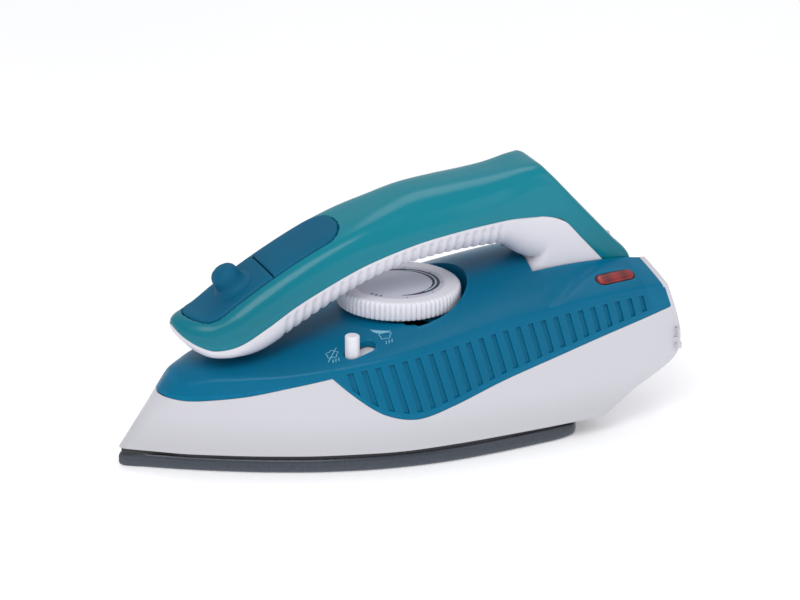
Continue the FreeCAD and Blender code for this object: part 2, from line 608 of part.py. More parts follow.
# --------------------------------------------------------------------------------- dial and lever
def make_dial():
    """Knob with a hollow underside and a hub that grips the thermostat's shaft."""
    disc = cylinder(DIAL_R, DIAL_TOP - DIAL_BOTTOM, V(DIAL_X, 0, DIAL_BOTTOM))
    disc = disc.makeFillet(1.0, [edge for edge in disc.Edges if edge.BoundBox.ZMin > DIAL_TOP - 0.1])
    disc = disc.cut(cylinder(DIAL_R - 2.2, 4.6, V(DIAL_X, 0, DIAL_BOTTOM - 0.2)))
    disc = disc.fuse(cylinder(6.0, 6.0, V(DIAL_X, 0, DIAL_BOTTOM)))
    ribs = [cylinder(0.55, DIAL_TOP - DIAL_BOTTOM - 1.4,
                     V(DIAL_X + (DIAL_R + 0.15) * math.cos(a), (DIAL_R + 0.15) * math.sin(a), DIAL_BOTTOM))
            for a in (2 * math.pi * i / 72 for i in range(72))]
    return disc.cut(Part.makeCompound(ribs)).cut(cylinder(SHAFT_R, 5.0, V(DIAL_X, 0, DIAL_BOTTOM - 0.5)))


def make_dial_shaft():
    return cylinder(SHAFT_R, DIAL_BOTTOM + 4.3 - 18.0, V(DIAL_X, 0, 18.0))


def make_dial_clip():
    clip = tube(5.4, SHAFT_R, 1.0, V(DIAL_X, 0, 41.6))
    return clip.cut(box(DIAL_X, DIAL_X + 8, -1.5, 1.5, 41, 43))


def make_steam_lever():
    """Peg, sliding carriage under the deck, and a fin with the level slot that lifts the valve needle."""
    carriage = in_lever_frame(box(-8.0, 14.2, -5.0, 5.0, -4.2, -2.7)).common(body_solid(WALL + 0.7))
    cup_reach = cylinder(POCKET_R + WALL + CUP_GAP, 20, V(DIAL_X, 0, CUP_BOTTOM - CUP_GAP))
    cup_reach.translate(LEVER_DIRECTION * -LEVER_TRAVEL)
    carriage = carriage.cut(cup_reach)
    peg_base = deck_height(PEG_X, PEG_Y) - 3.6
    peg = cylinder(PEG_R, PEG_TOP - peg_base, V(PEG_X, PEG_Y, peg_base))
    peg = peg.makeFillet(0.7, [edge for edge in peg.Edges if edge.BoundBox.ZMin > PEG_TOP - 0.1])
    fin = in_travel_frame(box(-9.5, 9.5, -1.0, 1.0, FIN_HEIGHT - 3.2, 39.0))
    fin = fin.cut(in_lever_frame(box(-30, 30, -20, 20, -3.4, 30)))
    travel = LEVER_TRAVEL * math.hypot(LEVER_DIRECTION.x, LEVER_DIRECTION.y)
    half = CROSS_PIN_R + RUN_CLEARANCE
    slot = in_travel_frame(box(VALVE_AHEAD - travel - half, VALVE_AHEAD + half, -3, 3, FIN_HEIGHT - half,
                               FIN_HEIGHT + half))
    return carriage.fuse([peg, fin.cut(slot)])


def make_lever_guide(inner):
    """Two rails under the deck, one on each side of the carriage, with room for the valve needle's fork."""
    fork_room = in_travel_frame(box(VALVE_AHEAD - FORK_HALF - 0.5, VALVE_AHEAD + FORK_HALF + 0.5,
                                    -FORK_SIDE - 0.5, FORK_SIDE + 0.5, 20, 50))
    cup = cylinder(POCKET_R + WALL, 30, V(DIAL_X, 0, 30))
    rails = []
    for low, high in ((-7.5, -3.4), (3.4, 7.5)):
        rail = box(-8.0, 15.5, low, high, -6.2, 2.0).cut(box(-20.0, 30.0, -5.35, 5.35, -4.6, 3.0))
        rails.append(solid_of(in_lever_frame(rail).common(inner).cut(cup).cut(fork_room)))
    return Part.makeCompound(rails)


def valve_axis():
    yaw = math.atan2(LEVER_DIRECTION.y, LEVER_DIRECTION.x)
    return V(PEG_X + VALVE_AHEAD * math.cos(yaw), PEG_Y + VALVE_AHEAD * math.sin(yaw), 0)


def make_valve_body():
    axis = valve_axis()
    body = cylinder(4.2, 11.0, V(axis.x, axis.y, 13.2)).fuse(cylinder(6.0, 1.6, V(axis.x, axis.y, 13.2)))
    port = cylinder(2.0, 8.0, V(axis.x, axis.y, 20.0), V(0, 1, 0))
    body = body.fuse(port).cut(cylinder(1.9, 13, V(axis.x, axis.y, 14.6)))
    body = body.cut(cylinder(1.2, 9, V(axis.x, axis.y, 20.0), V(0, 1, 0)))
    return body.cut(cylinder(0.9, 4, V(axis.x, axis.y, 12)))


def make_valve_needle():
    """Needle with a fork at its top; the fork's cross pin runs in the lever's slot."""
    axis = valve_axis()
    tip = Part.makeCone(0.7, 1.5, 1.6, V(axis.x, axis.y, 15.0))
    shaft = cylinder(1.84, 9.6, V(axis.x, axis.y, 16.6)).fuse(tip)
    fork = box(VALVE_AHEAD - FORK_HALF, VALVE_AHEAD + FORK_HALF, -FORK_SIDE, FORK_SIDE, 26.2, 33.2)
    fork = fork.cut(box(VALVE_AHEAD - 3, VALVE_AHEAD + 3, -1.35, 1.35, 27.4, 34))
    pin = cylinder(CROSS_PIN_R, 2 * FORK_SIDE, V(VALVE_AHEAD, -FORK_SIDE, FIN_HEIGHT), V(0, 1, 0))
    return shaft.fuse(in_travel_frame(fork.fuse(pin)))


def make_valve_hose():
    """Silicone hose from the valve to the end of the handle's feed."""
    axis = valve_axis()
    points = [V(axis.x, axis.y + 8.05, 20.0), V(-15.6, -11.0, 20.6), V(-6, -9, 22), V(22, -14.5, 25),
              V(33, 0, 28), V(60, 0, 30)]
    return cable(points, 2.0)


# ----------------------------------------------------------------------------------------- handle
def half_loop(half_width, middle, top, squareness, x):
    """Upper (or, with top below middle, lower) half of a handle section."""
    points = []
    for i in range(13):
        angle = math.pi * i / 12
        c, s = math.cos(angle), math.sin(angle)
        rise = 0.0 if i in (0, 12) else s ** (2 / squareness)
        side = 0.0 if i == 6 else math.copysign(abs(c) ** (2 / squareness), c)
        points.append(V(x, half_width * side, middle + (top - middle) * rise))
    return points


def handle_section(x, inset, crest_change):
    width = interpolate(HANDLE, x, 1) - inset
    under = interpolate(HANDLE, x, 2) + inset
    middle = interpolate(HANDLE, x, 3)
    crest = interpolate(HANDLE, x, 4) + crest_change
    upper = half_loop(width, middle, crest, interpolate(HANDLE, x, 5), x)
    lower = half_loop(width, middle, under, 2.8, x)
    return Part.Wire([spline(upper), spline(list(reversed(lower)))])


def handle_loft(inset, crest_change, start=None):
    stations = [row[0] for row in HANDLE if start is None or row[0] > start]
    if start is not None:
        stations = [start] + stations
    return Part.makeLoft([handle_section(x, inset, crest_change) for x in stations], True, False)


def arc_about_hinge(radius, low, high, steps=8):
    """Side-view points on an arc about the hinge; angles in degrees above the -X direction."""
    angles = [math.radians(low + (high - low) * i / steps) for i in range(steps + 1)]
    return [(HINGE_X - radius * math.cos(a), HINGE_Z + radius * math.sin(a)) for a in angles]


def arm_outline():
    """Side view of the arm: back edge, knuckle, and the skirt that keeps the deck's slot closed."""
    knuckle = [(94.0, 51.0), (88.5, 39.0), (86.2, 34.8), (82.0, 31.9), (78.0, 31.0), (73.5, 32.2),
               (68.0, 36.0), (52.0, 44.0)]
    front = [(52.5, 59.7), (49.5, 61.3), (46.0, 64.0), (42.5, 66.4), (46.0, 76.0), (52.0, 88.0),
             (55.4, 94.4)]
    return [APEX, BACK_FOOT] + knuckle + arc_about_hinge(ARM_SKIRT_R, 12.0, 40.0) + front


def arm_solid():
    arm = prism_xz(arm_outline(), LEG_HALF_WIDTH)
    edges = []
    for edge in arm.Edges:
        bound = edge.BoundBox
        along = bound.YLength < 0.01
        back = bound.XMin > 57.0 and bound.ZMax > 60.0 and bound.XLength > 20
        if along and back:
            edges.append(edge)
    return arm.makeFillet(2.6, edges)


def arm_hollow():
    outline = [(50.0, 74.0), (52.0, 86.0), (57.2, 91.8), (88.6, 57.6), (86.5, 54.0), (64.0, 52.0),
               (58.0, 61.0), (50.0, 66.0)]
    return prism_xz(outline, LEG_HALF_WIDTH - WALL)


def seam_line():
    """Seam in side view: along the handle, then down the arm parallel to its back edge."""
    dx, dz = BACK_FOOT[0] - APEX[0], BACK_FOOT[1] - APEX[1]
    length = math.hypot(dx, dz)
    dx, dz = dx / length, dz / length
    inner = (APEX[0] + BACK_STRIP * dz, APEX[1] - BACK_STRIP * dx)
    down = [(inner[0] + (inner[1] - z) / -dz * dx, z) for z in (73.0, 50.0)]
    return TANK_SEAM, down


def tank_region(shift):
    """Side-view region above the seam, moved up (and back, on the arm) by shift."""
    along, down = seam_line()
    along = [(x, z + shift) for x, z in along]
    down = [(x + 0.75 * shift, z + 0.65 * shift) for x, z in down]
    edge = spline(side_line(along))
    corners = side_line([along[-1], down[0], down[1], (112.0, down[1][1]), (112.0, 125.0), (-90.0, 125.0),
                         (-90.0, along[0][1]), along[0]])
    lines = [Part.makeLine(corners[i], corners[i + 1]) for i in range(len(corners) - 1)]
    return prism_xz_edges([edge] + lines, 40.0)


def pad_plan(margin):
    """Plan outline of the rubber pad: straight sides and rounded ends."""
    x0, x1 = PAD_FRONT - margin, PAD_REAR + margin
    half = PAD_HALF_WIDTH + margin
    body = box(x0 + half * 0.9, x1 - half * 0.62, -half, half, 40, 110)
    front = cylinder(half, 70, V(x0 + half, 0, 40))
    nose = Part.makeCylinder(half, 70, V(0, 0, 0))
    rear = nose.copy()
    scale = FreeCAD.Matrix()
    scale.scale(0.62, 1.0, 1.0)
    rear = rear.transformGeometry(scale)
    rear.translate(V(x1 - half * 0.62, 0, 40))
    return body.fuse([front, rear])


def crest_frame(x):
    """Frame on the tank's crest: local x along it, local z out of it."""
    slope = (interpolate(HANDLE, x + 2, 4) - interpolate(HANDLE, x - 2, 4)) / 4
    along = V(1, 0, slope)
    along.normalize()
    normal = V(-along.z, 0, along.x)
    rotation = FreeCAD.Rotation(along, normal.cross(along), normal, "XYZ")
    return FreeCAD.Placement(V(x, 0, interpolate(HANDLE, x, 4)), rotation)


def at_crest(shape, x):
    shape.Placement = crest_frame(x).multiply(shape.Placement)
    return shape


def make_handle():
    """Tank, grip, tank floor, gasket, rubber pad and filler flap."""
    arm = arm_solid()
    whole = handle_loft(0.0, 0.0).fuse(arm)
    hollow = handle_loft(WALL, -3.8, -71.0).fuse(arm_hollow())
    shell = whole.cut(hollow)
    tank = shell.common(tank_region(SEAM / 2))
    grip = shell.cut(tank_region(-SEAM / 2))

    recess = pad_plan(0.25)
    sunk = handle_loft(-0.5, 6.0).cut(handle_loft(0.0, -PAD_SINK - 0.2))
    tank = tank.cut(sunk.common(recess))
    tank = tank.cut(at_crest(cylinder(FILL_R, 14, V(0, 0, -10)), KNOB_X))

    pad = handle_loft(0.0, 0.35).cut(handle_loft(0.0, -PAD_SINK)).common(pad_plan(0.0))
    split = at_crest(box(-60, -0.2, -30, 30, -30, 30), FLAP_X)
    flap = pad.common(split)
    pad = pad.cut(at_crest(box(-60, 0.2, -30, 30, -30, 30), FLAP_X))
    profile = [V(7.2, 0, -0.7), V(6.0, 0, 0.5), V(5.3, 0, 2.4), V(4.9, 0, 5.4), V(4.3, 0, 7.4),
               V(2.6, 0, 8.5), V(0, 0, 8.8)]
    edges = [spline(profile), Part.makeLine(V(0, 0, 8.8), V(0, 0, -0.7)),
             Part.makeLine(V(0, 0, -0.7), profile[0])]
    knob = Part.Face(Part.Wire(edges)).revolve(V(0, 0, 0), V(0, 0, 1), 360)
    plug = Part.makeCone(3.1, 3.6, 3.4, V(0, 0, -4.6))
    flap = flap.fuse(at_crest(knob.fuse(plug), KNOB_X))

    bore = cylinder(HINGE_PIN_R + RUN_CLEARANCE, 60, V(HINGE_X, -30, HINGE_Z), V(0, 1, 0))
    grip = grip.cut(bore)
    floor = hollow.cut(tank_region(-SEAM / 2)).common(tank_region(-1.7))
    gasket = hollow.cut(handle_loft(WALL + 1.0, -3.0, -68.0))
    gasket = gasket.common(tank_region(-SEAM / 2)).cut(tank_region(0.9)).common(box(-90, 48, -20, 20, 30, 80))
    outlet = tube(2.6, 1.5, 12.0, V(OUTLET_X, 0, 62.0))
    floor = solid_of(floor).cut(cylinder(1.5, 20, V(OUTLET_X, 0, 65.0)))
    outlet = outlet.cut(tank_region(-1.7))
    hose = cable([V(OUTLET_X, 0, 61.9), V(OUTLET_X, 0, 59.2), V(66.5, 0, 57.0), V(70.0, 0, 55.4)], 2.2)
    return {
        "water_tank": solid_of(tank),
        "handle_grip": solid_of(grip),
        "tank_floor": floor,
        "tank_gasket": solid_of(gasket),
        "filler_pad": solid_of(pad),
        "filler_flap": solid_of(flap),
        "tank_outlet": solid_of(outlet),
        "feed_hose": hose,
    }


def main():
    save("soleplate", make_soleplate())
    save("heating_element", make_heating_element())
    save("steam_chamber_cover", make_chamber_cover())
    save("heat_shield", make_heat_shield())
    deck, lower, rear, inner = make_shells()
    save("deck_cover", deck)
    save("lower_housing", lower)
    save("rear_cover", rear)
    save("hinge_bracket", make_hinge_bracket(inner))
    save("hinge_pin", make_hinge_pin())
    save("friction_washers", make_friction_washers())
    save("detent_spring", make_detent_spring())
    save("thermostat", make_thermostat())
    save("thermal_fuse", make_thermal_fuse())
    save("terminal_block", make_terminal_block())
    save("wiring", make_wiring())
    save("indicator_lens", make_lens())
    save("neon_lamp", make_lamp())
    save("cord_gland", make_gland())
    save("sole_screws", make_sole_screws())
    save("temperature_dial", make_dial())
    save("dial_shaft", make_dial_shaft())
    save("dial_clip", make_dial_clip())
    save("steam_lever", make_steam_lever())
    save("lever_guide", make_lever_guide(inner))
    save("valve_body", make_valve_body())
    save("valve_needle", make_valve_needle())
    save("valve_hose", make_valve_hose())
    for name, shape in make_handle().items():
        save(name, shape)


if __name__ == "__main__":
    main()
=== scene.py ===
import json
import logging
import math
from dataclasses import dataclass
from enum import Enum

import bmesh
import bpy
import numpy as np
from mathutils import Matrix, Vector


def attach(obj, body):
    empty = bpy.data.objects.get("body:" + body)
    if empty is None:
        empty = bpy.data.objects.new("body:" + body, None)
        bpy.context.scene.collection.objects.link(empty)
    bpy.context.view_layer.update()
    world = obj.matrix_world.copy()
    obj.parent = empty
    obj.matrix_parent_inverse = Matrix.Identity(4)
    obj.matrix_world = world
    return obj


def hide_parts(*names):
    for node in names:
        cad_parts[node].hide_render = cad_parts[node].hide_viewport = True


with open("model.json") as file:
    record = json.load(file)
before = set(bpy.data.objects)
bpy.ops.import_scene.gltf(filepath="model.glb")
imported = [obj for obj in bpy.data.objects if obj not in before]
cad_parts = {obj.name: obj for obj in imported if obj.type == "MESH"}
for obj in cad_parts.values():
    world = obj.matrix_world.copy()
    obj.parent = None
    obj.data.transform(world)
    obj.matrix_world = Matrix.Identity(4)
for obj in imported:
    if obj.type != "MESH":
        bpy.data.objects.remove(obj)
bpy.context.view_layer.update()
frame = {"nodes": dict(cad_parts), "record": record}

# Looks of a travel steam iron with a folding handle. Sizes are in millimetres here and become metres in the
# meshes. Frame: nose towards -X, heel towards +X, user's left side towards -Y, +Z up, ironing face in z = 0.

MM = 0.001
log = logging.getLogger("iron")
Rows = list[tuple[float, ...]]
SIDE_VIEW = np.array([[1.0, 0, 0], [0, 0, 1.0], [0, -1.0, 0]])   # rows: x stays, local y is up, local z is -Y


class Pattern(Enum):
    """How a finish spreads its second colour."""

    MOTTLE = "soft clouds"
    RADIAL = "rings about an axis"
    # BANDS is used here only for painted shading of the lens's inner ribs.
    BANDS = "narrow bands along X"
    # HEIGHT is used here only for painted light and shade: parts lighter or darker by height (housing, tank, sole).
    HEIGHT = "a blend from low to high"


# ------------------------------------------------------------------------------------------- curves and grids
def read(rows: Rows, x: np.ndarray, column: int) -> np.ndarray:
    """Read one column of a station table smoothly: cubic Hermite spans whose slopes are the neighbours' chords.

    Args:
        rows: Stations, sorted by their first value.
        x: Places to read at, held inside the table.
        column: Which value of each station to read.

    Returns:
        The column's value at each x.
    """
    table = np.asarray(rows, float)
    knots, values = table[:, 0], table[:, column]
    x = np.clip(np.asarray(x, float), knots[0], knots[-1])
    i = np.clip(np.searchsorted(knots, x, side="left") - 1, 0, len(knots) - 2)
    chord = np.diff(values) / np.diff(knots)
    slope = np.concatenate([chord[:1], (values[2:] - values[:-2]) / (knots[2:] - knots[:-2]), chord[-1:]])
    h = knots[i + 1] - knots[i]
    t = (x - knots[i]) / h
    rise = (2 * t**3 - 3 * t**2 + 1) * values[i] + (3 * t**2 - 2 * t**3) * values[i + 1]
    return rise + (t**3 - 2 * t**2 + t) * h * slope[i] + (t**3 - t**2) * h * slope[i + 1]


def ease(x: np.ndarray, low: float | np.ndarray, high: float | np.ndarray) -> np.ndarray:
    """Smooth step from 0 at low to 1 at high: 3t squared less 2t cubed."""
    t = np.clip((x - low) / (np.asarray(high) - low + 1e-12), 0.0, 1.0)
    return t * t * (3.0 - 2.0 * t)


def chord_length(points: np.ndarray) -> np.ndarray:
    """Running length along a line of points, starting at 0."""
    return np.concatenate([[0.0], np.cumsum(np.linalg.norm(np.diff(points, axis=0), axis=1))])


def along(points: Rows, share: np.ndarray) -> np.ndarray:
    """Points at shares of the length of a smooth line through the given points.

    Args:
        points: The line's points, any number of coordinates each.
        share: Shares of the whole length, 0 to 1.

    Returns:
        One row of coordinates per share.
    """
    line = np.asarray(points, float)
    run = chord_length(line)
    table = [tuple(row) for row in np.column_stack([run, line])]
    return np.stack([read(table, share * run[-1], k + 1) for k in range(line.shape[1])], axis=-1)


def grid(*parts: np.ndarray) -> np.ndarray:
    """Stack x, y and z arrays of one shape into a grid of points."""
    return np.stack(np.broadcast_arrays(*parts), axis=-1).astype(float)


def lathe(profile: Rows, turns: int, ripple: np.ndarray | None = None) -> np.ndarray:
    """Turn a profile of (radius, height) about the z axis; ripple scales the radius at each angle."""
    line = np.asarray(profile, float)
    angle = np.linspace(0.0, 2 * math.pi, turns, endpoint=False)
    scale = np.ones((len(line), turns)) if ripple is None else ripple
    radius = line[:, :1] * scale
    return grid(radius * np.cos(angle), radius * np.sin(angle), line[:, 1:2])


def turned(points: np.ndarray, origin: np.ndarray, axes: np.ndarray) -> np.ndarray:
    """Carry points from a local frame, whose axes are the rows of axes, to the iron's frame."""
    return origin + points @ axes


class Builder:
    """Gathers grids of points and makes them one clean mesh object."""

    def __init__(self, name: str) -> None:
        """Start an empty piece with that name."""
        self.name = name
        self.points: list[np.ndarray] = []
        self.faces: list[list[int]] = []
        self.count = 0

    def add(self, points: np.ndarray, wrap: bool = False, loop: bool = False) -> "Builder":
        """Add a grid of quads.

        Args:
            points: Rows by columns by 3, in millimetres.
            wrap: Join the last column to the first.
            loop: Join the last row to the first.

        Returns:
            The builder itself.
        """
        rows, columns = points.shape[:2]
        index = self.count + np.arange(rows * columns).reshape(rows, columns)
        index = np.hstack([index, index[:, :1]]) if wrap else index
        index = np.vstack([index, index[:1]]) if loop else index
        quads = np.stack([index[:-1, :-1], index[:-1, 1:], index[1:, 1:], index[1:, :-1]], axis=-1)
        self.faces += quads.reshape(-1, 4).tolist()
        self.points.append(points.reshape(-1, 3))
        self.count += rows * columns
        return self

    def both_sides(self, points: np.ndarray) -> "Builder":
        """Add a grid and its mirror image across the iron's centre plane."""
        self.add(points)
        return self.add(points * np.array([1.0, -1.0, 1.0]))

    def make(self, weld: float = 0.01, fill: bool = False) -> bpy.types.Object:
        """Build the mesh: weld doubles, drop slivers, fill open ends if asked, and turn the faces outwards."""
        mesh = bpy.data.meshes.new(self.name)
        mesh.from_pydata((np.concatenate(self.points) * MM).tolist(), [], self.faces)
        piece = bpy.data.objects.new(self.name, mesh)
        bpy.context.scene.collection.objects.link(piece)
        tidy_mesh(mesh, weld * MM, fill)
        return piece


def tidy_mesh(mesh: bpy.types.Mesh, weld: float, fill: bool = False) -> None:
    """Weld doubles, close holes if asked, and make every face look outwards."""
    work = bmesh.new()
    work.from_mesh(mesh)
    bmesh.ops.remove_doubles(work, verts=work.verts, dist=weld)
    bmesh.ops.dissolve_degenerate(work, edges=work.edges, dist=weld / 4)
    if fill:
        bmesh.ops.holes_fill(work, edges=work.edges, sides=0)
    loose = [vertex for vertex in work.verts if not vertex.link_faces]
    bmesh.ops.delete(work, geom=loose, context="VERTS")
    bmesh.ops.recalc_face_normals(work, faces=work.faces)
    centres = np.array([face.calc_center_median() for face in work.faces])
    normals = np.array([face.normal for face in work.faces])
    areas = np.array([face.calc_area() for face in work.faces])
    outward = np.einsum("ij,ij->i", centres - np.average(centres, axis=0, weights=areas), normals)
    if (outward * areas).sum() < 0:
        bmesh.ops.reverse_faces(work, faces=work.faces)
    work.to_mesh(mesh)
    work.free()


def smooth(piece: bpy.types.Object, angle: float = 32.0) -> bpy.types.Object:
    """Shade smooth, with edges sharper than the angle kept crisp."""
    mesh = piece.data
    mesh.polygons.foreach_set("use_smooth", np.ones(len(mesh.polygons), bool))
    mesh.set_sharp_from_angle(angle=math.radians(angle))
    return piece


def apply(piece: bpy.types.Object) -> bpy.types.Object:
    """Turn the piece's modifiers into plain mesh."""
    bpy.context.view_layer.update()
    evaluated = piece.evaluated_get(bpy.context.evaluated_depsgraph_get())
    mesh = bpy.data.meshes.new_from_object(evaluated)
    piece.modifiers.clear()
    piece.data = mesh
    return piece


def thicken(piece: bpy.types.Object, wall: float) -> bpy.types.Object:
    """Give an open skin a wall that grows inwards."""
    solid = piece.modifiers.new("wall", "SOLIDIFY")
    solid.thickness = wall * MM
    solid.offset = -1.0
    return apply(piece)


def soften(piece: bpy.types.Object, width: float, angle: float = 50.0, segments: int = 2) -> bpy.types.Object:
    """Round the piece's sharp edges by a small bevel."""
    bevel = piece.modifiers.new("edges", "BEVEL")
    bevel.width = width * MM
    bevel.segments = segments
    bevel.limit_method = "ANGLE"
    bevel.angle_limit = math.radians(angle)
    return apply(piece)


def hold_behind(piece: bpy.types.Object, rearmost: float) -> bpy.types.Object:
    """Keep every vertex at or before a place along x: its x is the smaller of the two."""
    places = np.empty(len(piece.data.vertices) * 3, np.float32)
    piece.data.vertices.foreach_get("co", places)
    places[::3] = np.minimum(places[::3], rearmost * MM)
    piece.data.vertices.foreach_set("co", places)
    piece.data.update()
    return piece


def carve(piece: bpy.types.Object, cutter: bpy.types.Object) -> bpy.types.Object:
    """Cut one closed mesh out of another and discard the tool."""
    boolean = piece.modifiers.new("cut", "BOOLEAN")
    boolean.operation = "DIFFERENCE"
    boolean.solver = "EXACT"
    boolean.object = cutter
    apply(piece)
    bpy.data.objects.remove(cutter)
    return piece


def prism(name: str, outline: np.ndarray, low: float, high: float, origin: np.ndarray, axes: np.ndarray
          ) -> bpy.types.Object:
    """Closed prism over a local plan outline, from low to high along the local z axis."""
    levels = np.array([low, high])[:, None]
    walls = grid(outline[None, :, 0], outline[None, :, 1], levels)
    return Builder(name).add(turned(walls, origin, axes), wrap=True).make(fill=True)


def obround(length: float, width: float, steps: int = 10) -> np.ndarray:
    """Plan outline of a round-ended bar along x: a straight middle and two half circles."""
    angle = np.linspace(-math.pi / 2, math.pi / 2, steps)
    radius, half = width / 2, (length - width) / 2
    right = np.column_stack([half + radius * np.cos(angle), radius * np.sin(angle)])
    return np.vstack([right, -right])


def circle(radius: float, steps: int = 96) -> np.ndarray:
    """Plan outline of a circle about the origin."""
    angle = np.linspace(0.0, 2 * math.pi, steps, endpoint=False)
    return radius * np.column_stack([np.cos(angle), np.sin(angle)])


# ---------------------------------------------------------------------------------------------- shader groups
def group_of(name: str, inputs: dict[str, float], outputs: list[str]) -> bpy.types.NodeTree:
    """Start a shader group with float inputs, given with their default values, and float outputs."""
    tree = bpy.data.node_groups.new(name, "ShaderNodeTree")
    for label, value in inputs.items():
        tree.interface.new_socket(label, in_out="INPUT", socket_type="NodeSocketFloat").default_value = value
    for label in outputs:
        tree.interface.new_socket(label, in_out="OUTPUT", socket_type="NodeSocketFloat")
    tree.nodes.new("NodeGroupInput").name = "in"
    tree.nodes.new("NodeGroupOutput").name = "out"
    return tree


def math_node(tree: bpy.types.NodeTree, kind: str, *values: object) -> bpy.types.NodeSocket:
    """Add a math node; each value is a number or a socket. Returns its output."""
    node = tree.nodes.new("ShaderNodeMath")
    node.operation = kind
    for slot, value in enumerate(values):
        if isinstance(value, bpy.types.NodeSocket):
            tree.links.new(value, node.inputs[slot])
        else:
            node.inputs[slot].default_value = value
    return node.outputs[0]


def noise_node(tree: bpy.types.NodeTree, place: bpy.types.NodeSocket, scale: object, detail: float
               ) -> bpy.types.NodeSocket:
    """Add a noise texture read at place. Returns its value."""
    node = tree.nodes.new("ShaderNodeTexNoise")
    node.inputs["Detail"].default_value = detail
    tree.links.new(place, node.inputs["Vector"])
    if isinstance(scale, bpy.types.NodeSocket):
        tree.links.new(scale, node.inputs["Scale"])
    else:
        node.inputs["Scale"].default_value = scale
    return node.outputs["Fac"]


class Effects:
    """The shader groups that the finishes share, each built once."""

    def __init__(self) -> None:
        """Build both groups."""
        self.skin = self.moulded_skin()
        self.wear = self.edge_wear()

    @staticmethod
    def moulded_skin() -> bpy.types.NodeTree:
        """Moulded plastic: fine grain for the bump, slow clouds for colour, medium clouds for gloss."""
        tree = group_of("moulded_skin", {"Grain Scale": 900.0, "Cloud Scale": 22.0}, ["Grain", "Clouds", "Gloss"])
        place = tree.nodes.new("ShaderNodeTexCoord").outputs["Object"]
        given, out = tree.nodes["in"], tree.nodes["out"]
        grain = noise_node(tree, place, given.outputs["Grain Scale"], 2.0)
        clouds = noise_node(tree, place, given.outputs["Cloud Scale"], 1.0)
        gloss = noise_node(tree, place, math_node(tree, "MULTIPLY", given.outputs["Cloud Scale"], 5.0), 3.0)
        tree.links.new(grain, out.inputs["Grain"])
        tree.links.new(clouds, out.inputs["Clouds"])
        tree.links.new(gloss, out.inputs["Gloss"])
        return tree

    @staticmethod
    def edge_wear() -> bpy.types.NodeTree:
        """Rubbed edges: where the surface is convex and a noise is high."""
        tree = group_of("edge_wear", {"Amount": 0.3}, ["Worn"])
        place = tree.nodes.new("ShaderNodeTexCoord").outputs["Object"]
        edge = tree.nodes.new("ShaderNodeNewGeometry").outputs["Pointiness"]
        sharp = math_node(tree, "SMOOTH_MAX", math_node(tree, "MULTIPLY_ADD", edge, 9.0, -4.86), 0.0, 0.05)
        patch = noise_node(tree, place, 260.0, 4.0)
        both = math_node(tree, "MULTIPLY", math_node(tree, "MINIMUM", sharp, 1.0), patch)
        amount = math_node(tree, "MULTIPLY", both, tree.nodes["in"].outputs["Amount"])
        tree.links.new(amount, tree.nodes["out"].inputs["Worn"])
        return tree


def linear(colour: tuple[float, float, float]) -> tuple[float, float, float, float]:
    """Screen colour, 0 to 255, to the linear values that shaders use."""
    share = np.array(colour) / 255.0
    value = np.where(share <= 0.04045, share / 12.92, ((share + 0.055) / 1.055) ** 2.4)
    return (*value.tolist(), 1.0)


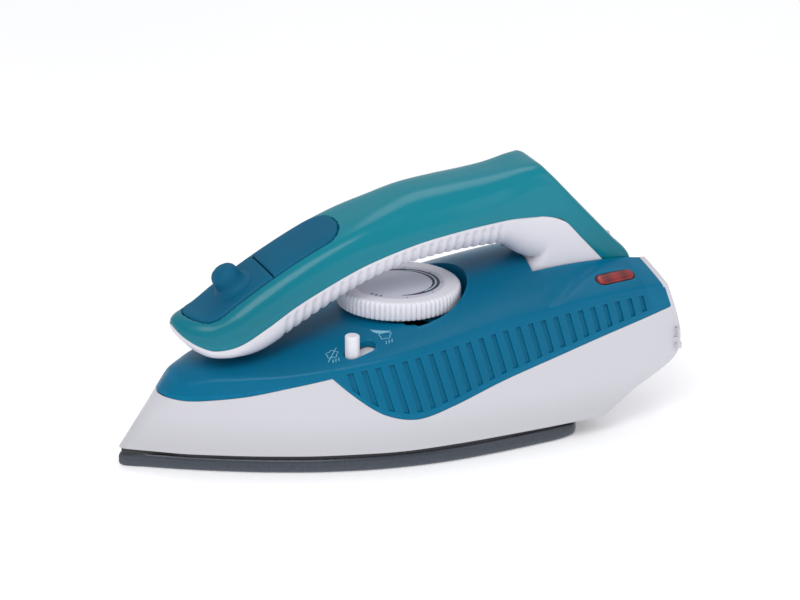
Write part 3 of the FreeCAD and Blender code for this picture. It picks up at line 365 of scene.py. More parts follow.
@dataclass(frozen=True)
class Finish:
    """One material: two colours, how they mix, how rough it is, and its grain."""

    name: str
    colour: tuple[float, float, float]
    second: tuple[float, float, float]
    rough: tuple[float, float] = (0.28, 0.38)
    grain: float = 900.0
    depth: float = 0.03
    clouds: float = 22.0
    coat: float = 0.0
    shine: float = 0.4
    metal: float = 0.0
    clear: float = 0.0
    worn: float = 0.25
    pattern: Pattern = Pattern.MOTTLE
    centre: tuple[float, float, float] = (0.0, 0.0, 0.0)
    span: tuple[float, float] = (0.0, 1.0)

    def mix_factor(self, tree: bpy.types.NodeTree, clouds: bpy.types.NodeSocket) -> bpy.types.NodeSocket:
        """Where the second colour shows, for the finish's pattern.

        Args:
            tree: The material's nodes.
            clouds: The shared group's slow noise.

        Returns:
            A socket from 0, first colour, to 1, second colour.
        """
        if self.pattern is Pattern.MOTTLE:
            node = tree.nodes.new("ShaderNodeMapRange")
            node.inputs["From Min"].default_value, node.inputs["From Max"].default_value = 0.3, 0.7
            tree.links.new(clouds, node.inputs["Value"])
            return node.outputs[0]
        place = tree.nodes.new("ShaderNodeMapping")
        place.inputs["Location"].default_value = [-value * MM for value in self.centre]
        tree.links.new(tree.nodes.new("ShaderNodeTexCoord").outputs["Object"], place.inputs["Vector"])
        split = tree.nodes.new("ShaderNodeSeparateXYZ")
        tree.links.new(place.outputs[0], split.inputs[0])
        if self.pattern is Pattern.RADIAL:
            square = [math_node(tree, "MULTIPLY", split.outputs[k], split.outputs[k]) for k in (0, 1)]
            value = math_node(tree, "SQRT", math_node(tree, "ADD", *square))
        elif self.pattern is Pattern.BANDS:
            value = math_node(tree, "PINGPONG", split.outputs[0], self.span[1] * MM)
        else:
            value = split.outputs[2]
        node = tree.nodes.new("ShaderNodeMapRange")
        node.interpolation_type = "SMOOTHSTEP"
        node.inputs["From Min"].default_value = self.span[0] * MM
        node.inputs["From Max"].default_value = self.span[1] * MM
        tree.links.new(value, node.inputs["Value"])
        return node.outputs[0]

    def material(self, effects: Effects) -> bpy.types.Material:
        """Build the material from the shared groups and this finish's own values."""
        material = bpy.data.materials.new(self.name)
        material.use_nodes = True
        tree = material.node_tree
        shader = tree.nodes["Principled BSDF"]
        skin = tree.nodes.new("ShaderNodeGroup")
        skin.node_tree = effects.skin
        skin.inputs["Grain Scale"].default_value = self.grain
        skin.inputs["Cloud Scale"].default_value = self.clouds
        wear = tree.nodes.new("ShaderNodeGroup")
        wear.node_tree = effects.wear
        wear.inputs["Amount"].default_value = self.worn
        blend = tree.nodes.new("ShaderNodeMix")
        blend.data_type = "RGBA"
        blend.inputs["A"].default_value = linear(self.colour)
        blend.inputs["B"].default_value = linear(self.second)
        tree.links.new(self.mix_factor(tree, skin.outputs["Clouds"]), blend.inputs["Factor"])
        rubbed = tree.nodes.new("ShaderNodeMix")
        rubbed.data_type = "RGBA"
        rubbed.inputs["B"].default_value = linear(tuple(min(255.0, value * 1.15 + 18.0) for value in self.colour))
        tree.links.new(blend.outputs["Result"], rubbed.inputs["A"])
        tree.links.new(wear.outputs["Worn"], rubbed.inputs["Factor"])
        tree.links.new(rubbed.outputs["Result"], shader.inputs["Base Color"])
        rough = tree.nodes.new("ShaderNodeMapRange")
        rough.inputs["To Min"].default_value, rough.inputs["To Max"].default_value = self.rough
        tree.links.new(skin.outputs["Gloss"], rough.inputs["Value"])
        tree.links.new(rough.outputs[0], shader.inputs["Roughness"])
        bump = tree.nodes.new("ShaderNodeBump")
        bump.inputs["Strength"].default_value = 0.35
        bump.inputs["Distance"].default_value = self.depth * MM
        tree.links.new(skin.outputs["Grain"], bump.inputs["Height"])
        tree.links.new(bump.outputs[0], shader.inputs["Normal"])
        shader.inputs["Metallic"].default_value = self.metal
        shader.inputs["Specular IOR Level"].default_value = self.shine
        shader.inputs["Coat Weight"].default_value = self.coat
        shader.inputs["Coat Roughness"].default_value = 0.06
        shader.inputs["Transmission Weight"].default_value = self.clear
        shader.inputs["IOR"].default_value = 1.49
        return material


DIAL_CENTRE = (7.0, 0.0, 0.0)
FINISHES = {
    # sole: painted shade, darker towards the top of its edge (z 3.2 mm) under the housing, lighter on the bead
    # below.
    "sole_ceramic": Finish("sole_glaze_shaded", (74, 81, 92), (62, 67, 76), (0.22, 0.34), 1400.0, 0.02, 60.0, 0.3, 0.25,
                           pattern=Pattern.HEIGHT, span=(0.4, 3.2)),
    "element_sheath": Finish("sheath_steel", (120, 112, 104), (96, 90, 88), (0.3, 0.5), metal=0.9),
    "chamber_steel": Finish("pressed_steel", (178, 180, 184), (160, 162, 166), (0.25, 0.4), metal=1.0),
    "shield_phenolic": Finish("shield_plastic", (52, 52, 56), (42, 42, 46), (0.4, 0.55), 700.0, 0.05),
    # housing: painted shade, darker grey towards the bottom (z 8 mm) and lighter towards the top (z 22 mm), as light
    # falls from above.
    "housing_white": Finish("housing_plastic_shaded", (196, 195, 201), (207, 206, 213), (0.3, 0.38), coat=0.1, worn=0.1,
                            pattern=Pattern.HEIGHT, span=(8.0, 22.0)),
    "deck_teal": Finish("deck_plastic", (0, 106, 142), (0, 100, 135), (0.26, 0.34), 1100.0, 0.02, 18.0,
                        shine=0.16),
    "bracket_steel": Finish("plated_steel", (168, 170, 172), (150, 152, 156), (0.28, 0.42), metal=1.0),
    "pin_steel": Finish("pin_steel_bright", (196, 198, 200), (180, 182, 186), (0.18, 0.28), metal=1.0),
    "washer_nylon": Finish("nylon", (226, 222, 208), (216, 212, 198), (0.4, 0.5)),
    "spring_steel": Finish("spring_steel_blue", (110, 112, 120), (96, 98, 108), (0.25, 0.35), metal=1.0),
    "thermostat_ceramic": Finish("thermostat_body", (216, 206, 186), (204, 194, 172), (0.5, 0.65)),
    "fuse_metal": Finish("fuse_can", (186, 184, 178), (170, 168, 160), (0.3, 0.4), metal=1.0),
    "terminal_plastic": Finish("terminal_nylon", (210, 208, 196), (200, 198, 186), (0.4, 0.5)),
    "wire_sleeve": Finish("wire_silicone", (188, 92, 60), (176, 84, 54), (0.4, 0.5)),
    # lens: light and dark bands painted along X, a painted shading that stands in for the ribs inside the lens.
    "lens_red": Finish("lens_tinted_rib_shading", (158, 44, 46), (112, 34, 36), (0.2, 0.28), 600.0, 0.01, 80.0, 0.2,
                       clear=0.15, pattern=Pattern.BANDS, centre=(80.5, 0, 0), span=(0.2, 3.4)),
    "lamp_glass": Finish("lamp_envelope", (226, 150, 110), (214, 132, 96), (0.08, 0.14), clear=0.6),
    "gland_rubber": Finish("gland_moulding", (210, 209, 214), (202, 201, 207), (0.45, 0.6), 700.0, 0.05),
    "screw_steel": Finish("screw_zinc", (190, 190, 184), (172, 172, 168), (0.25, 0.38), metal=1.0),
    "guide_plastic": Finish("guide_acetal", (222, 222, 226), (210, 210, 216), (0.35, 0.45)),
    "valve_brass": Finish("valve_turned_brass", (196, 160, 88), (180, 144, 76), (0.22, 0.34), metal=1.0),
    "hose_silicone": Finish("hose_clear_silicone", (222, 224, 220), (208, 210, 206), (0.35, 0.45)),
    # tank: painted light and shade, darker towards the seam below (z 50 mm) and lighter towards the crest (z 88 mm).
    "tank_teal": Finish("tank_tinted_shaded", (0, 122, 140), (0, 136, 154), (0.2, 0.26), 1300.0, 0.012, 16.0, shine=0.3,
                        clear=0.12, pattern=Pattern.HEIGHT, span=(50.0, 88.0)),
    "grip_white": Finish("grip_plastic", (224, 222, 230), (217, 215, 224), (0.3, 0.4), coat=0.15, worn=0.1),
    "floor_plastic": Finish("floor_abs", (196, 206, 210), (186, 196, 202), (0.4, 0.5)),
    "gasket_silicone": Finish("gasket_soft", (120, 140, 150), (108, 128, 138), (0.5, 0.6)),
    "pad_rubber": Finish("pad_soft_rubber", (0, 94, 128), (0, 87, 120), (0.5, 0.62), 1500.0, 0.05, 30.0,
                         shine=0.18),
    "outlet_plastic": Finish("outlet_abs", (196, 206, 210), (186, 196, 202), (0.4, 0.5)),
    "dial_white": Finish("dial_plastic", (206, 207, 222), (232, 231, 238), (0.3, 0.4), coat=0.15, worn=0.1,
                         pattern=Pattern.RADIAL, centre=DIAL_CENTRE, span=(16.2, 16.8)),
    "shaft_plastic": Finish("shaft_acetal", (216, 216, 220), (206, 206, 212), (0.35, 0.45)),
    "clip_steel": Finish("clip_spring", (150, 152, 158), (136, 138, 144), (0.25, 0.35), metal=1.0),
    "lever_white": Finish("lever_plastic", (233, 232, 238), (226, 225, 233), (0.28, 0.36), coat=0.2, worn=0.1),
    "needle_steel": Finish("needle_ground", (200, 202, 204), (186, 188, 192), (0.15, 0.22), metal=1.0),
}
MARK_DARK = Finish("print_dark", (58, 60, 78), (50, 52, 70), (0.4, 0.5), worn=0.0)
MARK_PALE = Finish("print_pale", (132, 190, 212), (122, 182, 206), (0.4, 0.5), worn=0.0)
MARK_WHITE = Finish("print_white", (206, 228, 236), (198, 222, 232), (0.4, 0.5), worn=0.0)
# Near-black painted shadow, laid in the gap round the lens.
GAP_PAINTED_SHADOW = Finish("gap_shadow", (16, 26, 40), (12, 20, 32), (0.5, 0.6), worn=0.0)


class Paintbox:
    """Makes each material once and puts it on pieces."""

    def __init__(self) -> None:
        """Start with the shared groups and no materials."""
        self.effects = Effects()
        self.made: dict[str, bpy.types.Material] = {}

    def paint(self, piece: bpy.types.Object, finish: Finish) -> bpy.types.Object:
        """Give the piece one material, the finish's."""
        if finish.name not in self.made:
            self.made[finish.name] = finish.material(self.effects)
        piece.data.materials.clear()
        piece.data.materials.append(self.made[finish.name])
        return piece

    def place(self, piece: bpy.types.Object, body: str, slot: str, finish: Finish | None = None,
              nodes: tuple[str, ...] = ()) -> bpy.types.Object:
        """Paint a finished piece, tie it to its body and slot, and report it.

        Args:
            piece: The finished piece.
            body: The CAD body that it rides on.
            slot: The record's material slot.
            finish: Its finish, or None for the slot's own.
            nodes: CAD nodes that it stands for.

        Returns:
            The piece.
        """
        self.paint(piece, finish or FINISHES[slot])
        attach(piece, body)
        if nodes:
            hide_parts(*nodes)
        log.info("%s: %d faces on %s", piece.name, len(piece.data.polygons), body)
        return piece


def refined(node: str, bevel: float, angle: float = 32.0) -> bpy.types.Object:
    """A merged copy of a CAD node's mesh with flat areas dissolved and its sharp edges softened."""
    source = frame["nodes"][node]
    piece = bpy.data.objects.new(node + "_skin", source.data.copy())
    bpy.context.scene.collection.objects.link(piece)
    work = bmesh.new()
    work.from_mesh(piece.data)
    bmesh.ops.remove_doubles(work, verts=work.verts, dist=0.002 * MM)
    bmesh.ops.dissolve_limit(work, angle_limit=math.radians(1.0), verts=work.verts, edges=work.edges)
    work.to_mesh(piece.data)
    work.free()
    if bevel:
        soften(piece, bevel, 40.0)
    return smooth(piece, angle)


# ------------------------------------------------------------------------------------------------- body shape
@dataclass
class BodyForm:
    """The body's outer form, which the deck cover and the lower housing share."""

    # x, half width at the foot level, and narrowing per millimetre of height
    foot: tuple = ((-104, 0.0, 0.30), (-97, 3.9, 0.28), (-88, 9.8, 0.26), (-80, 15.2, 0.25), (-70, 20.5, 0.24),
                   (-58, 26.3, 0.20), (-40, 33.6, 0.19), (-25, 38.0, 0.19), (-8, 41.6, 0.20), (12, 42.4, 0.20),
                   (30, 41.8, 0.19), (50, 40.6, 0.155), (70, 39.0, 0.12), (90, 36.9, 0.10), (112, 33.5, 0.10))
    # x, height on the centre plane, drop per square millimetre of y
    deck: tuple = ((-112, 22.0, 0.0), (-98, 24.5, 0.004), (-90, 27.4, 0.012), (-84, 29.8, 0.020),
                   (-80, 31.8, 0.026), (-75, 33.9, 0.022), (-69, 35.3, 0.012), (-60, 36.1, 0.0055),
                   (-45, 38.0, 0.0040), (-30, 41.4, 0.0044), (-10, 46.2, 0.0052), (10, 51.2, 0.0068),
                   (30, 55.4, 0.0081), (50, 58.2, 0.0086), (70, 59.2, 0.0077), (90, 58.4, 0.0068),
                   (112, 55.0, 0.0060))
    boundary: tuple = ((-90, 25.4), (-84, 25.6), (-77, 25.2), (-68.8, 26.0), (-57, 28.1), (-45, 30.9),
                       (-30.5, 34.0))
    swoop: tuple = ((-30.5, 34.0), (-25.5, 29.2), (-18.5, 23.4), (-13.2, 20.2), (-5.5, 17.9), (1.2, 17.8),
                    (12, 20.4), (31.8, 26.4), (52.2, 31.6), (72.7, 36.7), (108, 44.4))
    # height, x of the heel's underside and rear face
    heel: tuple = ((0.0, 62.0), (4.0, 66.5), (8.1, 73.2), (14.6, 83.3), (19.2, 93.4), (22.6, 100.0), (26.0, 103.0),
                   (31.0, 104.0), (38.0, 103.0), (46.0, 100.6), (55.0, 97.6), (62.0, 96.0))
    shoulder: tuple = ((-27.0, 37.6), (-10.0, 40.0), (10.0, 42.8), (30.0, 45.9), (50.0, 48.2), (70.0, 50.2),
                       (92.0, 51.0), (108.0, 50.0))
    peak_x: float = -30.5
    nose_x: float = -99.2
    nose_lean: float = 0.80
    foot_level: float = 8.0
    wall: float = 2.0
    shield_top: float = 7.0
    rear_x: float = 112.0

    def nose(self, z: np.ndarray) -> np.ndarray:
        """Where the nose is at each height: its foot, plus its lean times the rise."""
        return self.nose_x + self.nose_lean * (z - self.shield_top)

    def half_width(self, x: np.ndarray, z: np.ndarray) -> np.ndarray:
        """Half width of the side walls: the foot line less its narrowing, rounded off at the nose."""
        nose = self.nose(z)
        run = np.maximum(x - nose, 0.0) * (self.rear_x - self.nose_x) / (self.rear_x - nose)
        width = read(self.foot, x, 1) - read(self.foot, x, 2) * (z - self.foot_level)
        return np.maximum(width * np.sqrt(run / (run + 2.0)), 0.0)

    def deck_height(self, x: np.ndarray, y: np.ndarray) -> np.ndarray:
        """Height of the deck: the centre line less the drop times y squared."""
        return read(self.deck, x, 1) - read(self.deck, x, 2) * y * y

    def edge_height(self, x: np.ndarray) -> np.ndarray:
        """Height of the line between deck cover and lower housing."""
        return np.where(x <= self.peak_x, read(self.boundary, x, 1), read(self.swoop, x, 1))

    def heel_x(self, z: np.ndarray, inset: float = 0.0) -> np.ndarray:
        """The heel's x at each height, drawn in square to its curve."""
        slope = (read(self.heel, z + 0.2, 1) - read(self.heel, z - 0.2, 1)) / 0.4
        return read(self.heel, z, 1) - inset * np.sqrt(1 + slope**2)

    def normal(self, x: float, y: float) -> np.ndarray:
        """Unit vector square to the deck."""
        step = 1.0
        slope_x = float(self.deck_height(x + step, y) - self.deck_height(x - step, y)) / 2
        slope_y = float(self.deck_height(x, y + step) - self.deck_height(x, y - step)) / 2
        out = np.array([-slope_x, -slope_y, 1.0])
        return out / np.linalg.norm(out)

    def deck_axes(self, x: float, y: float, heading: np.ndarray) -> tuple[np.ndarray, np.ndarray]:
        """Origin and axes of a frame lying on the deck, its x axis along the heading."""
        up = self.normal(x, y)
        ahead = heading - up * (heading @ up)
        ahead = ahead / np.linalg.norm(ahead)
        origin = np.array([x, y, float(self.deck_height(x, y))])
        return origin, np.stack([ahead, np.cross(up, ahead), up])


@dataclass
class DeckCover:
    """Teal cover: grooved flanks, a rounded shoulder, and a crown with its openings."""

    form: BodyForm
    ridge_radius: float = 1.7
    nose_x: float = -79.3
    rear_x: float = 97.3
    rib_pitch: float = 5.0
    rib_first: float = -24.0
    rib_count: int = 24
    rib_depth: float = 1.0
    rib_lean: float = 0.2493
    rib_level: float = 34.0
    seam: float = 0.075

    def lean(self, c: np.ndarray) -> np.ndarray:
        """How far a column moves back per millimetre of fall: the nose's lean, then the ribs', then the heel's."""
        front = 0.8 + (-self.rib_lean - 0.8) * ease(c, self.nose_x, -44.0)
        return front + (self.rib_lean - 0.335) * ease(c, 86.0, self.rear_x)

    def ridge(self, c: np.ndarray) -> tuple[np.ndarray, np.ndarray]:
        """Half width and height where flank and deck meet, found by repeated substitution."""
        z = self.form.deck_height(c, 30.0 * np.ones_like(c))
        for _ in range(40):
            y = self.form.half_width(c, z)
            z = 0.5 * z + 0.5 * self.form.deck_height(c, y)
        return self.form.half_width(c, z), z

    def foot(self, c: np.ndarray, z_ridge: np.ndarray) -> tuple[np.ndarray, np.ndarray]:
        """Where each column meets the boundary line, found by repeated substitution."""
        z = self.form.edge_height(c)
        for _ in range(12):
            x = c + self.lean(c) * (z - z_ridge)
            z = self.form.edge_height(x) + self.seam
        return x, z

    def columns(self) -> np.ndarray:
        """Ridge coordinates of the columns: close together at each rib's edges."""
        probe = np.linspace(-30.0, self.rear_x, 600)
        shift = probe - self.rib_lean * (self.rib_level - self.ridge(probe)[1])
        offsets = np.array([-1.28, -1.1, -0.92, -0.6, 0.0, 0.6, 0.92, 1.1, 1.28, 1.8, 2.5, 3.2])
        wanted = (self.rib_first + self.rib_pitch * np.arange(self.rib_count)[:, None] + offsets).ravel()
        ribs = np.interp(wanted, shift, probe)
        front = np.linspace(self.nose_x, -34.0, 56)
        fine = np.linspace(-33.5, ribs[0] - 0.4, 14)
        columns = np.concatenate([front, fine, ribs[ribs < self.rear_x - 0.3], [self.rear_x]])
        foot_x = self.foot(columns, self.ridge(columns)[1])[0]
        nearest = int(np.argmin(np.abs(foot_x - self.form.peak_x)))
        columns[nearest] += self.form.peak_x - foot_x[nearest]
        return np.sort(columns)

    def flank(self, c: np.ndarray) -> np.ndarray:
        """One flank and its half of the rounded shoulder, as rows from the boundary line up.

        A point is c plus the lean times its fall below the ridge, at the body's half width, less the groove's
        depth: one inside a slot of the rib's width between a low line and a high line, and nought outside.

        Args:
            c: Ridge coordinates of the columns.

        Returns:
            Rows by columns by 3; the last row is the inner edge of the shoulder's round.
        """
        form = self.form
        half, top = self.ridge(c)
        _, bottom = self.foot(c, top)
        height = np.maximum(top - bottom, 0.2)
        radius = np.minimum(self.ridge_radius, np.minimum(0.3 * height, 0.45 * half + 0.02))
        low = bottom + np.minimum(2.2, 0.3 * height)
        crest = np.where(c > -34.0, read(form.shoulder, c, 1) - 2.4, top - 0.35 * height)
        high = np.clip(crest, bottom + 0.5 * height, np.maximum(top - radius - 0.7, bottom + 0.5 * height))
        ends = [bottom, low - 0.5, low - 0.12, low + 0.12, low + 0.5]
        middle = [low + 0.5 + (high - low - 1.0) * t for t in np.linspace(0, 1, 14)[1:-1]]
        upper = [high - 0.5, high - 0.12, high + 0.12, high + 0.5, top - radius]
        z = np.sort(np.stack(ends + middle + upper), axis=0)
        z = np.clip(z, bottom, top - radius)
        x = c + self.lean(c) * (z - top)
        y = form.half_width(x, z)
        place = c - self.rib_lean * (self.rib_level - top)
        number = np.clip(np.round((place - self.rib_first) / self.rib_pitch), 0, self.rib_count - 1)
        off = np.abs(place - self.rib_first - self.rib_pitch * number)
        slot = (1 - ease(off, 0.9, 1.12)) * ease(z, low - 0.13, low + 0.13)
        slot = slot * (1 - ease(z, high - 0.13, high + 0.13)) * ease(height, 5.5, 7.0)
        y = y - self.rib_depth * slot
        control = grid(c, half, top)
        below = grid(x[-1], y[-1], z[-1])
        inner_y = half - radius
        inner = grid(c, inner_y, form.deck_height(c, inner_y))
        t = np.linspace(0, 1, 8)[1:, None, None]
        bend = (1 - t) ** 2 * below + 2 * t * (1 - t) * control + t**2 * inner
        return np.concatenate([grid(x, y, z), bend])

    def crown(self, c: np.ndarray, edge: np.ndarray) -> np.ndarray:
        """Top of the deck from one shoulder to the other; the rear columns lean with the heel."""
        share = np.linspace(-1, 1, 45)[:, None]
        y = share * edge[:, 1]
        z = self.form.deck_height(c, y)
        rear = ease(c, 86.0, self.rear_x) * 0.335
        x = c - rear * (z - edge[:, 2])
        return grid(x, y, z)

    def crease(self, points: np.ndarray) -> np.ndarray:
        """Sink the deck beside the arm a little, so that a soft crease runs from the flank to the arm's foot."""
        x, y, z = points[..., 0], points[..., 1], points[..., 2]
        side = np.abs(y)
        line = 52.0 + (33.0 - side) * 1.45
        inside = ease(x, line - 10.0, line) * (1 - ease(x, line, line + 5.0))
        fade = ease(side, 15.0, 18.0) * (1 - ease(side, 29.0, 33.0)) * ease(x, 48.0, 56.0)
        points[..., 2] = z - 0.55 * inside * fade
        return points

    def skin(self) -> bpy.types.Object:
        """The whole cover as one wall, before its openings."""
        c = self.columns()
        flank = self.flank(c)
        crown = self.crease(self.crown(c, flank[-1]))
        builder = Builder("deck_shell").both_sides(flank).add(crown)
        return thicken(builder.make(weld=0.02), self.form.wall)

    def arm_slot(self, hinge: tuple[float, float], radius: float, half: float) -> bpy.types.Object:
        """Tool for the arm's slot: open at the rear, with a round front about the hinge."""
        angle = np.radians(np.linspace(13.4, 70.0, 14))
        front = np.column_stack([hinge[0] - radius * np.cos(angle), hinge[1] + radius * np.sin(angle)])
        outline = np.vstack([front, [[front[-1, 0], 90.0], [125.0, 90.0], [125.0, front[0, 1]]]])
        return prism("slot_tool", outline, -half, half, np.zeros(3), SIDE_VIEW)


@dataclass
class DialPocket:
    """Recess that the dial turns in, its wall following the deck."""

    form: BodyForm
    x: float = 7.0
    radius: float = 24.6
    floor: float = 46.0
    bore: float = 4.0
    wall: float = 1.6
    steps: int = 144

    def tool(self) -> bpy.types.Object:
        """Cylinder that opens the deck above the pocket's floor."""
        outline = circle(self.radius, self.steps)
        return prism("pocket_tool", outline, self.floor, 70.0, np.array([self.x, 0, 0]), np.eye(3))

    def cup(self) -> bpy.types.Object:
        """Floor and wall in one ring section: floor height, or just under the deck where the deck is lower."""
        angle = np.linspace(0, 2 * math.pi, self.steps, endpoint=False)
        radii = np.array([self.bore, 10.0, 16.0, 20.0, 22.5, self.radius - 0.02])[:, None]
        x, y = self.x + radii * np.cos(angle), radii * np.sin(angle)
        level = np.minimum(self.floor, self.form.deck_height(x, y) - 0.12)
        floor = grid(x, y, level)
        deck = self.form.deck_height(x[-1], y[-1])
        top = np.maximum(level[-1], deck - 0.35)
        rim_in = grid(x[-1], y[-1], top)[None]
        outer = self.radius + self.wall
        xo, yo = self.x + outer * np.cos(angle), outer * np.sin(angle)
        low_top = np.maximum(np.minimum(level[-1] - 0.3, self.form.deck_height(xo, yo) - 0.4),
                             np.minimum(top, self.form.deck_height(xo, yo) - 0.4))
        rim_out = grid(xo, yo, low_top)[None]
        under_out = grid(xo, yo, np.minimum(level[-1], low_top) - self.wall)[None]
        under_in = grid(x[0], y[0], level[0] - self.wall)[None]
        rings = np.concatenate([floor, rim_in, rim_out, under_out, under_in])
        return smooth(Builder("dial_pocket").add(rings, wrap=True, loop=True).make())


@dataclass
class LowerHousing:
    """White housing under the deck cover: two flanks and the heel's underside."""

    form: BodyForm
    seam: float = 0.075
    ledge: float = 26.85
    rows: int = 26

    def top_line(self, count_front: int = 60, count_rear: int = 170) -> np.ndarray:
        """Boundary line in side view, with a point on its peak."""
        front_x = np.linspace(-84.75, self.form.peak_x, count_front)
        rear_x = np.linspace(self.form.peak_x, 99.05, count_rear)[1:]
        x = np.concatenate([front_x, rear_x])
        return np.column_stack([x, self.form.edge_height(x) - self.seam])

    def bottom_line(self, share: np.ndarray) -> np.ndarray:
        """Foot of the flank: level, then up under the heel, then a step in to the rear cover's seat."""
        z = np.linspace(self.form.shield_top, self.ledge, 90)
        x = self.form.heel_x(z)
        line = np.vstack([[[self.form.nose_x, self.form.shield_top]], np.column_stack([x, z])])
        step = [[float(self.form.heel_x(np.array(self.ledge))) - self.form.wall - 0.1, self.ledge]]
        line = np.vstack([line, step])
        run = chord_length(line)
        return np.stack([np.interp(share * run[-1], run, line[:, k]) for k in (0, 1)], axis=-1)

    def flank(self) -> tuple[np.ndarray, np.ndarray]:
        """One flank: straight columns from foot to boundary, the last ones bent to the heel's curve.

        Returns:
            The flank's grid, and the foot line's points.
        """
        top = self.top_line()
        front = int(np.argmin(np.abs(top[:, 0] - self.form.peak_x)))
        share = np.concatenate([np.linspace(0, 0.318, front + 1), np.linspace(0.318, 1, len(top) - front)[1:]])
        foot = self.bottom_line(share)
        v = np.linspace(0, 1, self.rows)[:, None]
        x = foot[:, 0] + (top[:, 0] - foot[:, 0]) * v
        z = foot[:, 1] + (top[:, 1] - foot[:, 1]) * v
        end_x = self.form.heel_x(z[:, -1:], self.form.wall)
        x = x + ease(share, 0.93, 1.0) * (end_x - x[:, -1:])
        x = np.minimum(x, self.form.heel_x(z))
        return grid(x, self.form.half_width(x, z), z), foot

    def underside(self, foot: np.ndarray, edge: np.ndarray) -> np.ndarray:
        """Heel's underside, straight across from flank to flank."""
        rising = foot[:, 1] > self.form.shield_top + 1e-6
        first = max(int(np.argmax(rising)) - 1, 0)
        share = np.linspace(-1, 1, 25)[:, None]
        return grid(foot[first:, 0], share * edge[first:, 1], foot[first:, 1])

    def shell(self) -> bpy.types.Object:
        """The housing as one wall with softened edges."""
        flank, foot = self.flank()
        builder = Builder("lower_shell").both_sides(flank).add(self.underside(foot, flank[0]))
        piece = thicken(builder.make(weld=0.02), self.form.wall)
        hold_behind(piece, max(x for _, x in self.form.heel))
        return smooth(soften(piece, 0.3, 60.0), 35.0)


# ----------------------------------------------------------------------------------------------------- handle
@dataclass
class HandleForm:
    """Side-view lines and widths of the folded handle and its arm."""

    # x, half width, underside, widest height, crest, squareness of the upper half
    stations: tuple = ((-78.8, 0.8, 49.4, 50.1, 51.0, 2.0), (-78.0, 4.2, 47.2, 48.9, 52.0, 2.2),
                       (-76.0, 7.6, 44.6, 47.0, 53.0, 2.5), (-72.5, 10.9, 41.4, 44.9, 53.6, 3.0),
                       (-67.5, 14.0, 39.0, 43.5, 54.4, 3.6), (-59.5, 16.6, 38.3, 45.1, 58.9, 4.0),
                       (-50.0, 17.0, 39.0, 49.9, 64.8, 4.0), (-38.0, 17.0, 45.0, 57.0, 71.4, 4.0),
                       (-26.0, 17.0, 51.6, 62.8, 77.2, 4.0), (-14.0, 17.0, 57.6, 67.9, 82.0, 3.8),
                       (-2.0, 17.0, 62.2, 71.6, 86.2, 3.0), (10.0, 17.0, 64.6, 74.4, 89.8, 2.6),
                       (23.5, 16.7, 66.0, 76.3, 91.4, 2.6), (35.0, 15.9, 66.2, 77.2, 92.2, 2.8),
                       (45.0, 14.8, 65.6, 77.4, 93.2, 3.4), (57.0, 14.0, 64.0, 76.6, 95.3, 5.0))
    loft_end: float = 42.0
    hinge: tuple[float, float] = (78.0, 40.0)
    skirt: float = 29.6
    seam: float = 0.075

    def column(self, x: np.ndarray, index: int) -> np.ndarray:
        """One column of the stations at x."""
        return read(self.stations, x, index)

    def skirt_point(self, degrees: float) -> tuple[float, float]:
        """Side-view point on the skirt, at an angle above the direction of the nose."""
        angle = math.radians(degrees)
        return (self.hinge[0] - self.skirt * math.cos(angle), self.hinge[1] + self.skirt * math.sin(angle))

    def loft_rows(self, fine: np.ndarray, far: int) -> np.ndarray:
        """Station rows (seam x, seam z, far x, far z, half width, squareness) along the handle's loft."""
        return np.column_stack([fine, self.column(fine, 3), fine, self.column(fine, far), self.column(fine, 1),
                                self.column(fine, 5) if far == 4 else np.full_like(fine, 2.8)])

    def crest_frame(self, x: np.ndarray) -> tuple[np.ndarray, np.ndarray]:
        """Unit tangent (x, z) and unit normal (x, z) of the crest."""
        slope = (self.column(x + 2, 4) - self.column(x - 2, 4)) / 4
        length = np.sqrt(1 + slope**2)
        return np.stack([1 / length, slope / length], -1), np.stack([-slope / length, 1 / length], -1)

    def crown_height(self, x: np.ndarray, y: np.ndarray) -> np.ndarray:
        """Height of the tank's top: a superellipse from the seam at the sides to the crest."""
        width, low, crest, square = (self.column(x, k) for k in (1, 3, 4, 5))
        rise = (1 - np.minimum(np.abs(y) / width, 1.0) ** square) ** (1 / square)
        return low + (crest - low) * rise


def half_sections(rows: np.ndarray, angles: np.ndarray) -> np.ndarray:
    """Half sections between a seam line and a far line.

    At angle a the point is the seam plus the far offset times sine to the power 2/n, at the half width times
    cosine to the power 2/n, where n is the section's squareness.

    Args:
        rows: Seam x, seam z, far x, far z, half width, squareness, one row per section.
        angles: From 0 at the right seam to pi at the left seam.

    Returns:
        Angles by sections by 3.
    """
    power = 2.0 / rows[:, 5]
    sine = np.maximum(np.sin(angles), 0.0)[:, None] ** power
    cosine = np.cos(angles)[:, None]
    y = rows[:, 4] * np.sign(cosine) * np.abs(cosine) ** power
    x = rows[:, 0] + (rows[:, 2] - rows[:, 0]) * sine
    z = rows[:, 1] + (rows[:, 3] - rows[:, 1]) * sine
    return grid(x, y, z)


